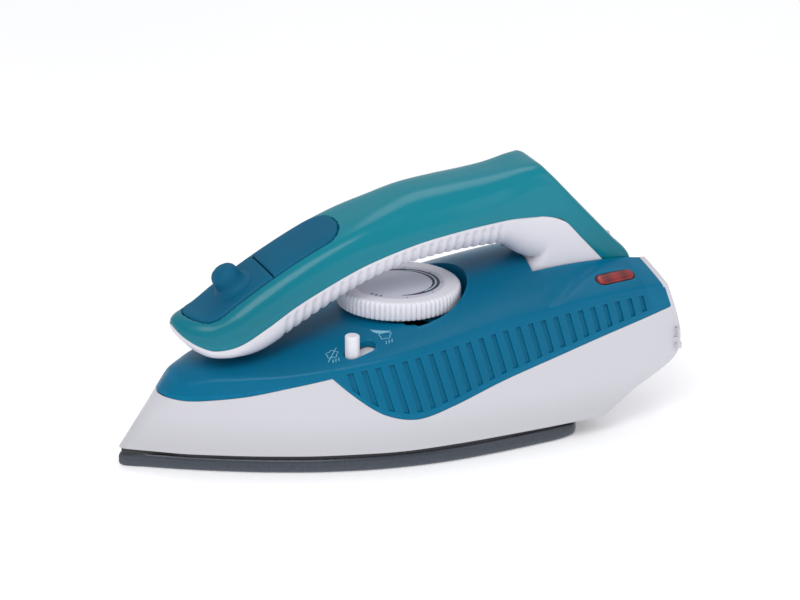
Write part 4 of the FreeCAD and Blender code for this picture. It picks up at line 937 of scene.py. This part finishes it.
@dataclass
class Tank:
    """Tinted water tank with a recess for the pad and a filling hole, and a strip down the arm's back."""

    form: HandleForm
    pad: "FillerPad"
    wall: float = 1.9
    fill_radius: float = 4.4

    def rows(self) -> np.ndarray:
        """Sections along the crest, round the apex and down the back of the arm."""
        fine = np.concatenate([np.linspace(-78.8, -76.0, 10), np.linspace(-75.6, -16.0, 120),
                               np.linspace(-15.0, 52.0, 50)])
        loft = self.form.loft_rows(fine, 4)
        bend = [(57.0, 76.6, 56.6, 94.9, 14.0, 5.0), (58.4, 76.3, 58.6, 94.1, 14.0, 5.6),
                (60.0, 76.0, 60.2, 92.5, 14.0, 6.5), (62.5, 75.4, 63.0, 89.5, 14.0, 8.0),
                (65.0, 74.4, 67.1, 85.0, 14.0, 8.0), (66.5, 73.0, 72.8, 78.8, 14.0, 7.0),
                (71.0, 68.0, 77.4, 73.8, 14.0, 7.0), (80.0, 58.2, 86.4, 64.0, 14.0, 7.0),
                (86.4, 51.2, 92.5, 57.3, 14.0, 7.0), (87.4, 50.1, 93.9, 50.6, 14.0, 7.0)]
        tail = along(bend, np.linspace(0, 1, 60))
        rows = np.vstack([loft, tail])
        rows[:, 1] += self.form.seam * (rows[:, 0] < 66.0)
        rows[:, 0] += self.form.seam * (rows[:, 0] >= 66.0)
        return rows

    def shell(self) -> bpy.types.Object:
        """The tank as one wall, its pad recess sunk into the crest, with the filling hole cut."""
        flat = np.concatenate([np.linspace(0, 0.28, 10), np.linspace(0.31, math.pi / 2, 34)])
        angles = np.concatenate([flat, math.pi - flat[::-1][1:]])
        points = half_sections(self.rows(), angles)
        points = self.pad.recess(points)
        piece = thicken(Builder("tank_shell").add(points).make(weld=0.02), self.wall)
        origin, axes = self.pad.frame_at(self.pad.knob_x)
        carve(piece, prism("fill_tool", circle(self.fill_radius, 40), -9.0, 6.0, origin, axes))
        return smooth(soften(piece, 0.22, 55.0), 35.0)


@dataclass
class Grip:
    """White underside of the handle, ribbed for the fingers, and the arm with its knuckle."""

    form: HandleForm
    rib_start: float = -43.0
    rib_end: float = 41.5
    rib_pitch: float = 3.4
    rib_depth: float = 1.05
    joint_x: float = 43.6
    wall: float = 1.9
    pin_bore: float = 3.05

    def rows(self) -> np.ndarray:
        """Sections along the underside, down the arm's front and skirt, and round the knuckle."""
        fine = np.concatenate([np.linspace(-78.8, -74.0, 12), np.linspace(-73.4, -44.5, 36),
                               np.arange(-44.0, self.form.loft_end + 0.01, self.rib_pitch / 8)])
        loft = self.form.loft_rows(fine, 2)
        skirt = [self.form.skirt_point(angle) for angle in (40.0, 31.0, 22.0, 12.0)]
        arm = [(self.form.loft_end, 77.4, 42.0, 66.1, 15.1, 2.8), (44.2, 77.4, 44.0, 65.2, 14.8, 2.9),
               (48.0, 77.3, 46.3, 63.8, 14.3, 3.1), (53.0, 77.0, 49.5, 61.4, 14.0, 3.4),
               (60.0, 76.0, 52.5, 59.8, 14.0, 3.8), (66.4, 73.1, *skirt[0], 14.0, 4.4),
               (72.0, 66.9, *skirt[1], 14.0, 5.0), (79.0, 59.2, *skirt[2], 14.0, 5.5),
               (87.2, 50.2, *skirt[3], 14.0, 6.0), (93.6, 49.8, 50.6, 45.0, 14.0, 6.5),
               (91.0, 44.6, 55.0, 42.5, 14.0, 6.5), (88.5, 39.0, 62.0, 39.0, 14.0, 6.5),
               (86.2, 34.8, 68.0, 36.0, 14.0, 6.5), (82.0, 31.9, 74.0, 32.2, 14.0, 6.5)]
        tail = along(arm, np.linspace(0, 1, 110))[1:]
        tail[:, 4] = np.minimum(tail[:, 4], 15.1)
        rows = np.vstack([loft, tail])
        front = np.arange(len(rows)) < len(loft)
        rows[front, 1] -= self.form.seam
        return rows

    def ribs(self, points: np.ndarray, angles: np.ndarray) -> np.ndarray:
        """Scallop the underside: round ridges with sharp valleys, each the depth times 1 less |cos| of the pitch.

        Args:
            points: Section points.
            angles: Their angles round the section, which fade the ribs out beside the seam.

        Returns:
            The points, moved towards the section's middle in the valleys.
        """
        x = points[..., 0]
        middle = self.form.column(x, 3)
        ridge = 1 - np.abs(np.cos(math.pi * (x - self.rib_start) / self.rib_pitch)) ** 0.8
        run = ease(x, self.rib_start - 0.6, self.rib_start) * (1 - ease(x, self.rib_end, self.rib_end + 0.6))
        fade = ease(np.sin(angles), 0.03, 0.13)[:, None]
        amount = self.rib_depth * ridge * run * fade
        groove = 0.35 * np.exp(-((x - self.joint_x) / 0.28) ** 2) * (points[..., 2] < middle + 0.1)
        amount = amount + groove * (points[..., 0] < self.form.loft_end + 4)
        centre = np.stack([x, np.zeros_like(x), middle], -1)
        inward = centre - points
        inward /= np.maximum(np.linalg.norm(inward, axis=-1, keepdims=True), 1e-6)
        return points + inward * amount[..., None]

    def shell(self) -> bpy.types.Object:
        """The grip as one wall, its knuckle bored for the hinge pin."""
        half = np.concatenate([np.linspace(0, 0.2, 5), np.linspace(0.25, math.pi / 2, 22)])
        angles = np.concatenate([half, math.pi - half[::-1][1:]])
        points = self.ribs(half_sections(self.rows(), angles), angles)
        piece = thicken(Builder("grip_shell").add(points).make(weld=0.02), self.wall)
        origin = np.array([self.form.hinge[0], 0.0, self.form.hinge[1]])
        carve(piece, prism("pin_tool", circle(self.pin_bore, 36), -30.0, 30.0, origin, SIDE_VIEW))
        return smooth(soften(piece, 0.22, 55.0), 35.0)


@dataclass
class FillerPad:
    """Rubber pad let into the tank's top; its front half is the filler flap with a pull knob."""

    form: HandleForm
    front: float = -74.0
    rear: float = -17.5
    half: float = 11.6
    flap_x: float = -45.0
    knob_x: float = -55.8
    sink: float = 1.8
    proud: float = 0.55
    edge: float = 1.1
    slit_y: float = 7.2

    def outline_half(self, x: np.ndarray, margin: float = 0.0) -> np.ndarray:
        """Half width of the pad's plan: a round front and a flatter rounded rear."""
        half = self.half + margin
        front = np.clip((x - self.front + margin) / half, 0.0, 1.0)
        rear = np.clip((self.rear + margin - x) / (0.62 * half), 0.0, 1.0)
        return half * np.sqrt(1 - (1 - front) ** 2) * np.sqrt(1 - (1 - rear) ** 2)

    def recess(self, points: np.ndarray) -> np.ndarray:
        """Sink the tank's top inside the pad's outline, with a low lip round it."""
        x, y = points[..., 0], points[..., 1]
        crown = points[..., 2] > self.form.column(x, 3) + 3.0
        depth = self.outline_half(x, 0.25) - np.abs(y)
        ends = np.minimum(x - self.front, self.rear - x)
        inside = ease(np.minimum(depth, ends * 2.0 + 1.0), -0.12, 0.3) * crown * (ends > -0.3)
        _, normal = self.form.crest_frame(np.clip(x, -76.0, 50.0))
        points = points.copy()
        points[..., 0] -= normal[..., 0] * self.sink * inside
        points[..., 2] -= normal[..., 1] * self.sink * inside
        return points

    def frame_at(self, x: float) -> tuple[np.ndarray, np.ndarray]:
        """Origin and axes of a frame on the crest: x along it, z out of it."""
        tangent, normal = self.form.crest_frame(np.array(x))
        origin = np.array([x, 0.0, float(self.form.column(np.array(x), 4))])
        return origin, np.array([[tangent[0], 0, tangent[1]], [0, 1.0, 0], [normal[0], 0, normal[1]]])

    def slab(self, name: str, low: float, high: float) -> bpy.types.Object:
        """One half of the pad between two stations of the crest.

        Across the pad the share s runs from -1 to 1; the top is the tank's crown plus the pad's height, which
        falls in a quarter circle at the rim. The underside is the same plan, sunk into the recess.

        Args:
            name: The piece's name.
            low: First station.
            high: Last station.

        Returns:
            The closed slab.
        """
        ends = np.array([0.0, 0.004, 0.015, 0.035, 0.07, 0.12, 0.2])
        share = np.concatenate([ends, np.linspace(0.28, 0.72, 22), 1 - ends[::-1]])
        x = low + (high - low) * share
        half = np.maximum(self.outline_half(x), 0.02)
        s = np.sin(np.linspace(-math.pi / 2, math.pi / 2, 49))[:, None]
        y = s * half
        near = np.minimum(half - np.abs(y), self.rim(x, low, high))
        bulge = np.sqrt(np.clip(1 - (1 - np.clip(near / self.edge, 0, 1)) ** 2, 0, 1))
        lift = (self.proud + 0.5) * bulge - 0.5
        tangent, normal = self.form.crest_frame(x)
        drop = self.form.crown_height(x, y) - self.form.column(x, 4)
        height = lift + drop
        z0 = self.form.column(x, 4)
        slit = 0.5 * np.exp(-((x - self.flap_x) / 0.5) ** 2 - ((np.abs(y) - self.slit_y) / 0.7) ** 2)
        top = grid(x + normal[:, 0] * (height - slit), y, z0 + normal[:, 1] * (height - slit))
        under = drop - self.sink + 0.25
        base = grid(x + normal[:, 0] * under, y, z0 + normal[:, 1] * under)
        walls = [np.stack([top[:, k], base[:, k]]) for k in (0, -1)]
        sides = [np.stack([top[k], base[k]]) for k in (0, -1)]
        builder = Builder(name).add(top).add(base)
        for strip in walls + sides:
            builder.add(strip)
        return builder.make(weld=0.004)

    def rim(self, x: np.ndarray, low: float, high: float) -> np.ndarray:
        """Distance from the pad's own ends; a cut face at the flap's hinge is rounded less."""
        first = (x - low) * (1.0 if low < -60 else 2.6)
        last = (high - x) * (1.0 if high > -30 else 2.6)
        return np.minimum(first, last) + 0.02

    def knob(self) -> bpy.types.Object:
        """Pull knob: a flared foot, a waist and a rounded head, turned about the crest's normal."""
        profile = [(0.0, 8.8), (1.6, 8.7), (3.0, 8.3), (4.1, 7.6), (4.75, 6.7), (5.05, 5.7), (5.15, 4.7),
                   (5.25, 3.6), (5.4, 2.6), (5.8, 1.8), (6.4, 1.2), (7.1, 0.8), (7.9, 0.62), (8.0, 0.3), (7.8, 0.0)]
        origin, axes = self.frame_at(self.knob_x)
        points = turned(lathe(profile, 64), origin, axes)
        return Builder("flap_knob").add(points, wrap=True).make(weld=0.004, fill=True)

    def plug(self) -> bpy.types.Object:
        """Tapered plug under the flap that closes the filling hole."""
        origin, axes = self.frame_at(self.knob_x)
        profile = [(3.9, -1.4), (3.9, -3.2), (3.7, -4.0), (3.1, -4.5), (0.0, -4.6)]
        points = turned(lathe(profile, 48), origin, axes)
        return smooth(Builder("flap_plug").add(points, wrap=True).make(weld=0.004, fill=True))


# ------------------------------------------------------------------------------------ dial, lever, lens, sole
@dataclass
class Dial:
    """Temperature dial with a scalloped rim, and the marks printed on it."""

    x: float = 7.0
    radius: float = 22.5
    top: float = 54.0
    bottom: float = 47.2
    teeth: int = 72
    tooth: float = 0.8
    dish: float = 0.35
    crescent_shift: float = 1.3

    def knob(self) -> bpy.types.Object:
        """Turned disc: the rim's radius ripples with the teeth, and the face is a little hollow.

        Returns:
            The closed disc.
        """
        r, low, high = self.radius, self.bottom, self.top
        face = high - self.dish
        profile = [(0.0, face), (8.0, face), (15.9, face), (16.4, high - 0.3),
                   (16.8, high - 0.02), (17.4, high), (20.4, high), (21.4, high - 0.14), (22.0, high - 0.5),
                   (22.35, high - 1.1), (r, high - 2.0), (r, low + 1.0), (22.2, low + 0.3), (21.6, low), (6.0, low),
                   (0.0, low)]
        turns = self.teeth * 8
        angle = np.linspace(0, 2 * math.pi, turns, endpoint=False)
        wave = np.abs(np.sin(self.teeth / 2 * angle)) ** 0.7 - 1.0
        depth = np.array([0, 0, 0, 0, 0, 0, 0.05, 0.35, 0.7, 0.95, 1.0, 1.0, 0.9, 0.5, 0, 0])[:, None]
        ripple = 1 + self.tooth / r * wave * depth
        points = lathe(profile, turns, ripple) + np.array([self.x, 0, 0])
        return smooth(Builder("dial_knob").add(points, wrap=True).make(weld=0.004), 40.0)

    def flat_mark(self, name: str, inner: np.ndarray, outer: np.ndarray, lift: float) -> bpy.types.Object:
        """Thin printed strip between two plan lines, lying on the dial's face."""
        z = self.top - self.dish + lift
        strip = np.stack([np.column_stack([inner, np.full(len(inner), z)]),
                          np.column_stack([outer, np.full(len(outer), z)])])
        return thicken(Builder(name).add(strip).make(weld=0.001), 0.03)

    def wedge(self) -> bpy.types.Object:
        """Crescent that swells and thins again, showing more heat round the dial."""
        turn = np.radians(np.linspace(-112.0, 104.0, 90))
        swell = np.sin(np.linspace(0, math.pi, 90)) ** 0.9
        outer = 13.4 + 0.3 * swell
        inner = outer - 0.25 - 2.6 * swell
        ring = np.column_stack([np.cos(turn), np.sin(turn)])
        shift = np.array([self.x + self.crescent_shift, 0.0])
        return self.flat_mark("dial_wedge", shift + inner[:, None] * ring, shift + outer[:, None] * ring, 0.05)

    def wedge_line(self) -> bpy.types.Object:
        """Pale line inside the crescent."""
        turn = np.radians(np.linspace(-70.0, 60.0, 60))
        ring = np.column_stack([np.cos(turn), np.sin(turn)])
        shift = np.array([self.x + self.crescent_shift, 0.0])
        return self.flat_mark("dial_wedge_line", shift + 12.0 * ring, shift + 12.5 * ring, 0.09)

    def dots(self) -> bpy.types.Object:
        """One, two and three dots: the heat settings."""
        builder = Builder("dial_dots")
        for first, count in ((-152.0, 3), (128.0, 2), (158.0, 1)):
            for k in range(count):
                turn = math.radians(first + 7.5 * k)
                centre = np.array([self.x + 14.6 * math.cos(turn), 14.6 * math.sin(turn), self.top - self.dish])
                builder.add(lathe([(0.0, 0.06), (0.5, 0.06), (0.55, 0.0), (0.0, 0.0)], 16) + centre, wrap=True)
        return builder.make(weld=0.001)

    def ticks(self) -> bpy.types.Object:
        """Short radial ticks beside the crescent."""
        builder = Builder("dial_ticks")
        for degrees in (-100.0, -60.0, -20.0, 20.0, 60.0):
            turn = math.radians(degrees)
            ahead = np.array([math.cos(turn), math.sin(turn)])
            across = np.array([-math.sin(turn), math.cos(turn)])
            middle = np.array([self.x, 0.0]) + 15.4 * ahead
            corners = [middle + 0.5 * i * ahead + 0.14 * j * across for i in (-1, 1) for j in (-1, 1)]
            z = self.top - self.dish
            levels = [np.array([[*corners[k], z + h] for k in (0, 1, 3, 2)]) for h in (0.0, 0.05)]
            builder.add(np.stack(levels), wrap=True)
        return builder.make(weld=0.001, fill=True)


@dataclass
class LeverAndLens:
    """Steam lever's peg in its slot, and the lamp's lens."""

    form: BodyForm
    peg: tuple[float, float] = (-21.0, -26.0)
    peg_radius: float = 2.6
    travel: float = 6.0
    heading: tuple[float, float, float] = (0.966, 0.116, 0.232)
    lens: tuple[float, float] = (80.5, -25.5)
    lens_size: tuple[float, float] = (15.0, 5.2)

    def slot_tool(self) -> bpy.types.Object:
        """Tool for the lever's slot in the deck."""
        flat = np.array([self.heading[0], self.heading[1], 0.0])
        run = self.travel * float(np.linalg.norm(flat))
        ahead = flat / np.linalg.norm(flat)
        axes = np.stack([ahead, np.array([-ahead[1], ahead[0], 0.0]), np.array([0.0, 0, 1.0])])
        origin = np.array([self.peg[0], self.peg[1], 0.0]) + ahead * run / 2
        width = 2 * self.peg_radius + 1.2
        return prism("lever_tool", obround(run + width, width), 30.0, 60.0, origin, axes)

    def lens_frame(self) -> tuple[np.ndarray, np.ndarray]:
        """Frame on the deck at the lens."""
        return self.form.deck_axes(*self.lens, np.array([1.0, 0.10, 0.0]))

    def lens_tool(self, margin: float) -> bpy.types.Object:
        """Tool for the lens opening, wider than the lens by a margin all round."""
        length, width = self.lens_size
        outline = obround(length + 2 * margin, width + 2 * margin, 14)
        return prism("lens_tool", outline, -6.0, 4.0, *self.lens_frame())

    def lens_dome(self) -> bpy.types.Object:
        """Lens: its plan shrinks towards the top in a quarter round; its ribs are not modelled, only painted as
        light and dark bands in its material.
        """
        length, width = self.lens_size
        origin, axes = self.lens_frame()
        rings = []
        for inset, z in ((0.05, -3.2), (0.05, -0.2), (0.12, 0.16), (0.35, 0.42), (0.8, 0.56), (1.5, 0.6), (2.2, 0.6),
                         (2.56, 0.6)):
            line = obround(length - 2 * inset, max(width - 2 * inset, 0.06), 14)
            rings.append(grid(line[:, 0], line[:, 1], z))
        return smooth(Builder("lens_dome").add(turned(np.stack(rings), origin, axes), wrap=True)
                      .make(weld=0.002, fill=True), 50.0)

    def lens_gap_shadow_ring(self) -> bpy.types.Object:
        """Dark ring laid in the gap round the lens: a painted shadow, not a part of the iron."""
        length, width = self.lens_size
        origin, axes = self.lens_frame()
        rings = []
        for grow, z in ((0.02, -2.6), (0.02, -0.12), (0.42, -0.12), (0.42, -2.6)):
            line = obround(length + 2 * grow, width + 2 * grow, 14)
            rings.append(grid(line[:, 0], line[:, 1], z))
        return smooth(Builder("lens_gap_shade").add(turned(np.stack(rings), origin, axes), wrap=True, loop=True)
                      .make(weld=0.002))


@dataclass
class Sole:
    """Soleplate with a rounded bead round its edge and steam holes in its face."""

    nose_x: float = -99.3
    heel_x: float = 66.0
    half_width: float = 41.6
    middle_x: float = -15.0
    hole_radius: float = 1.2
    holes: tuple = ((-69, 0), (-52, 7), (-52, -7), (-40, 11), (-40, -11), (-27, 15), (-27, -15), (-13, 17.5),
                    (-13, -17.5), (2, 18.5), (2, -18.5), (-46, 0), (-33, 3.5), (-33, -3.5))

    def outline(self, inset: float, count: int = 260) -> np.ndarray:
        """Plan outline at an inset: a quarter sine from the nose, a slow taper, and a round heel."""
        heel, nose = self.heel_x - inset, self.nose_x + 1.25 * inset
        x = np.array([-96.5, -90, -80, -68, -52, -34, -14, 8, 28, 46, 55])
        width = self.half_width * np.sin(math.pi / 2 * np.minimum((x - self.nose_x) / 110.0, 1.0)) ** 0.9
        width = width - 0.0018 * np.maximum(x - 10.0, 0.0) ** 2 - inset
        keep = (x > nose + 2.0) & (width > 1.0) & (x < heel - 6.0)
        right = np.column_stack([x, width])[keep]
        corner = right[-1, 1]
        right = np.vstack([[[nose, 0.0]], right,
                           [[heel - 4.5, corner - 3.0], [heel - 0.8, corner * 0.6], [heel, 0.0]]])
        left = right[1:-1][::-1] * np.array([1.0, -1.0])
        ring = np.vstack([right, left])
        closed = np.vstack([ring[-3:], ring, ring[:4]])
        run = chord_length(closed)
        table = np.column_stack([run, closed])
        place = np.linspace(run[3], run[3 + len(ring)], count, endpoint=False)
        return np.column_stack([read(table, place, 1), read(table, place, 2)])

    def closed_rings(self, levels: Rows, count: int = 260) -> np.ndarray:
        """The outline at each level, closed by a point under the first ring and over the last.

        Args:
            levels: Inset and height of each ring.
            count: Points round each ring.

        Returns:
            Rings by points by 3.
        """
        lines = [self.outline(inset, count) for inset, _ in levels]
        rings = [grid(line[:, 0], line[:, 1], z) for line, (_, z) in zip(lines, levels)]
        middle = np.array([self.middle_x, 0.0, 0.0])
        ends = [ring + (middle - ring) * np.array([1.0, 1.0, 0.0]) for ring in (rings[0], rings[-1])]
        return np.stack([ends[0], *rings, ends[1]])

    def plate(self) -> bpy.types.Object:
        """The sole: rings up its rounded edge, closed below and above, with its holes cut."""
        levels = [(2.6, 0.0), (1.3, 0.02), (0.75, 0.2), (0.35, 0.5), (0.08, 1.0), (0.0, 1.6), (0.0, 3.4), (0.1, 4.1),
                  (0.4, 4.7), (0.75, 5.0), (2.0, 5.0)]
        piece = Builder("sole_skin").add(self.closed_rings(levels), wrap=True).make(weld=0.004)
        for x, y in self.holes:
            hole = circle(self.hole_radius, 24)
            carve(piece, prism("hole_tool", hole, -1.0, 2.6, np.array([x, y, 0.0]), np.eye(3)))
        return smooth(piece, 40.0)

    def casting(self) -> bpy.types.Object:
        """Raised casting on the sole, which holds the element and the steam chamber, under its cover."""
        levels = [(9.0, 4.9), (9.0, 11.6), (9.4, 12.0), (10.6, 12.0)]
        return smooth(Builder("sole_casting").add(self.closed_rings(levels, 180), wrap=True).make(weld=0.004))


@dataclass
class Prints:
    """Small printed signs on the deck: two clouds of steam, one of them crossed, and the dial's pointer."""

    form: BodyForm
    lift: float = 0.03
    thick: float = 0.03

    def ribbon(self, builder: Builder, line: np.ndarray, width: float) -> None:
        """Add a thin strip along a plan line, lying on the deck."""
        step = np.gradient(line, axis=0)
        step /= np.maximum(np.linalg.norm(step, axis=1, keepdims=True), 1e-9)
        across = np.column_stack([-step[:, 1], step[:, 0]]) * width / 2
        sides = np.stack([line - across, line + across])
        z = self.form.deck_height(sides[..., 0], sides[..., 1]) + self.lift + self.thick
        builder.add(grid(sides[..., 0], sides[..., 1], z))

    def cloud(self, name: str, centre: tuple[float, float], size: float, crossed: bool) -> bpy.types.Object:
        """A cloud outline with three rising puffs under it, and a bar across it if crossed."""
        builder = Builder(name)
        turn = np.linspace(0, 2 * math.pi, 49)
        radius = size * (0.36 + 0.055 * np.cos(5 * turn))
        middle = np.array(centre)
        self.ribbon(builder, middle + np.column_stack([radius * np.cos(turn), radius * np.sin(turn)]), 0.26)
        for k in (-1, 0, 1):
            t = np.linspace(0, 1, 12)
            x = middle[0] + k * 0.2 * size + 0.05 * size * np.sin(2 * math.pi * t)
            self.ribbon(builder, np.column_stack([x, middle[1] - size * (0.55 + 0.3 * t)]), 0.24)
        if crossed:
            ends = np.array([[-0.5, -0.62], [0.5, 0.5]]) * size
            self.ribbon(builder, middle + np.linspace(ends[0], ends[1], 10), 0.3)
        return thicken(builder.make(weld=0.0005), self.thick)

    def pointer(self, dial_x: float, radius: float) -> bpy.types.Object:
        """Pale lens-shaped mark beside the dial: two arcs that meet at its ends."""
        turn = np.radians(np.linspace(-136.0, -118.0, 24))
        swell = np.sin(np.linspace(0, math.pi, 24))
        ring = np.column_stack([np.cos(turn), np.sin(turn)])
        inner = np.array([dial_x, 0.0]) + radius * ring
        outer = np.array([dial_x, 0.0]) + (radius + 1.6 * swell[:, None] + 0.02) * ring
        rows = np.stack([inner + (outer - inner) * t for t in np.linspace(0, 1, 5)])
        z = self.form.deck_height(rows[..., 0], rows[..., 1]) + self.lift + self.thick
        builder = Builder("dial_pointer").add(grid(rows[..., 0], rows[..., 1], z))
        return thicken(builder.make(weld=0.0005), self.thick)


# ------------------------------------------------------------------------------------------------- assemblies
class Iron:
    """The whole iron: builds each sub-assembly and dresses the CAD nodes that stay."""

    def __init__(self) -> None:
        """Set up the shared forms and the paints."""
        self.paints = Paintbox()
        self.body = BodyForm()
        self.handle = HandleForm()
        self.controls = LeverAndLens(self.body)
        self.pocket = DialPocket(self.body)

    def build_body(self) -> None:
        """Deck cover with its openings, the dial's pocket, the lower housing and the rear cover."""
        cover = DeckCover(self.body)
        deck = cover.skin()
        for tool in (self.pocket.tool(), cover.arm_slot(self.handle.hinge, 30.2, 14.7), self.controls.slot_tool(),
                     self.controls.lens_tool(0.45)):
            carve(deck, tool)
        smooth(soften(deck, 0.2, 55.0), 33.0)
        self.paints.place(deck, "base", "deck_teal", nodes=("deck_cover",))
        self.paints.place(self.pocket.cup(), "base", "deck_teal")
        self.paints.place(LowerHousing(self.body).shell(), "base", "housing_white", nodes=("lower_housing",))
        self.paints.place(refined("rear_cover", 0.5), "base", "housing_white", nodes=("rear_cover",))
        self.paints.place(refined("cord_gland", 0.3), "base", "gland_rubber", nodes=("cord_gland",))

    def build_sole(self) -> None:
        """Soleplate and its casting."""
        sole = Sole()
        self.paints.place(sole.plate(), "base", "sole_ceramic", nodes=("soleplate",))
        self.paints.place(sole.casting(), "base", "chamber_steel")

    def build_handle(self) -> None:
        """Tank, grip, pad, flap and knob."""
        pad = FillerPad(self.handle)
        self.paints.place(Tank(self.handle, pad).shell(), "handle", "tank_teal", nodes=("water_tank",))
        self.paints.place(Grip(self.handle).shell(), "handle", "grip_white", nodes=("handle_grip",))
        rear = smooth(pad.slab("pad_rear", pad.flap_x + 0.12, pad.rear), 50.0)
        self.paints.place(rear, "handle", "pad_rubber", nodes=("filler_pad",))
        flap = smooth(pad.slab("flap_front", pad.front, pad.flap_x - 0.12), 50.0)
        self.paints.place(flap, "filler_flap", "pad_rubber", nodes=("filler_flap",))
        self.paints.place(smooth(pad.knob(), 50.0), "filler_flap", "pad_rubber")
        self.paints.place(pad.plug(), "filler_flap", "pad_rubber")

    def build_controls(self) -> None:
        """Dial and its marks, lens, and the signs printed on the deck."""
        dial = Dial()
        self.paints.place(dial.knob(), "dial", "dial_white", nodes=("temperature_dial",))
        for mark in (dial.wedge(), dial.dots(), dial.ticks()):
            self.paints.place(mark, "dial", "dial_white", MARK_DARK)
        self.paints.place(dial.wedge_line(), "dial", "dial_white", MARK_WHITE)
        self.paints.place(self.controls.lens_dome(), "base", "lens_red", nodes=("indicator_lens",))
        # painted shadow: a near-black ring in the gap round the lens, standing in for shade.
        self.paints.place(self.controls.lens_gap_shadow_ring(), "base", "lens_red", GAP_PAINTED_SHADOW)
        prints = Prints(self.body)
        self.paints.place(prints.cloud("sign_dry", (-27.4, -22.8), 5.4, True), "base", "deck_teal", MARK_PALE)
        self.paints.place(prints.cloud("sign_steam", (-7.4, -23.0), 5.4, False), "base", "deck_teal", MARK_PALE)
        self.paints.place(prints.pointer(dial.x, 24.8), "base", "deck_teal", MARK_PALE)
        self.paints.place(refined("steam_lever", 0.35), "steam_lever", "lever_white", nodes=("steam_lever",))

    def dress_nodes(self) -> None:
        """Give every CAD node that stays the finish of its slot in the record."""
        slots = {entry["node"]: entry["material_slot"] for entry in frame["record"]["subparts"]}
        for name, node in frame["nodes"].items():
            self.paints.paint(node, FINISHES[slots[name]])


@dataclass
class Studio:
    """Camera, lights and the pale floor."""

    azimuth: float = -22.0
    elevation: float = 21.0
    distance: float = 1.3
    target: tuple[float, float, float] = (0.0, 0.0, 0.05)
    lens: float = 163.8
    shift: tuple[float, float] = (0.0248, -0.0066)

    def camera(self) -> None:
        """Put the camera on its sight line and level."""
        a, e = math.radians(self.azimuth), math.radians(self.elevation)
        back = Vector((math.sin(a) * math.cos(e), -math.cos(a) * math.cos(e), math.sin(e)))
        right = Vector((0, 0, 1)).cross(back).normalized()
        up = back.cross(right)
        camera = bpy.data.objects.new("camera", bpy.data.cameras.new("camera"))
        camera.matrix_world = Matrix((right, up, back)).transposed().to_4x4()
        camera.location = Vector(self.target) + back * self.distance
        camera.data.lens = self.lens
        camera.data.sensor_width = 36.0
        camera.data.shift_x, camera.data.shift_y = self.shift
        bpy.context.scene.collection.objects.link(camera)
        bpy.context.scene.camera = camera

    def light(self, name: str, place: tuple[float, float, float], size: float, power: float) -> None:
        """Add a square softbox that faces the iron."""
        data = bpy.data.lights.new(name, "AREA")
        data.size, data.energy = size, power
        lamp = bpy.data.objects.new(name, data)
        lamp.location = place
        lamp.rotation_euler = (Vector(self.target) - Vector(place)).to_track_quat("-Z", "Y").to_euler()
        bpy.context.scene.collection.objects.link(lamp)

    def floor(self, paints: Paintbox) -> None:
        """Wide pale floor."""
        side = np.linspace(-3000.0, 3000.0, 5)
        piece = Builder("floor").add(grid(side[:, None], side[None, :], -0.05)).make()
        pale = Finish("floor_paper", (250, 250, 251), (246, 246, 248), (0.7, 0.8), 200.0, 0.01, 3.0, worn=0.0)
        paints.paint(piece, pale)
        shader = piece.data.materials[0].node_tree.nodes["Principled BSDF"]
        shader.inputs["Emission Color"].default_value = (1.0, 1.0, 1.0, 1.0)
        shader.inputs["Emission Strength"].default_value = 0.22

    def build(self, paints: Paintbox) -> None:
        """Camera, three softboxes, bright surroundings and the floor."""
        self.camera()
        self.light("key", (-0.55, -0.75, 1.15), 0.9, 9.5)
        self.light("fill", (0.9, -0.9, 0.6), 1.0, 2.5)
        self.light("rim", (0.3, 0.8, 1.7), 0.9, 5.0)
        world = bpy.data.worlds.new("studio")
        world.use_nodes = True
        world.node_tree.nodes["Background"].inputs["Color"].default_value = (0.97, 0.98, 1.0, 1.0)
        world.node_tree.nodes["Background"].inputs["Strength"].default_value = 0.5
        bpy.context.scene.world = world
        self.floor(paints)
        bpy.context.scene.view_settings.view_transform = "Standard"


def main() -> None:
    logging.basicConfig(level=logging.INFO, format="%(name)s %(message)s")
    iron = Iron()
    Studio().build(iron.paints)
    iron.dress_nodes()
    iron.build_sole()
    iron.build_body()
    iron.build_handle()
    iron.build_controls()


if __name__ == "__main__":
    main()
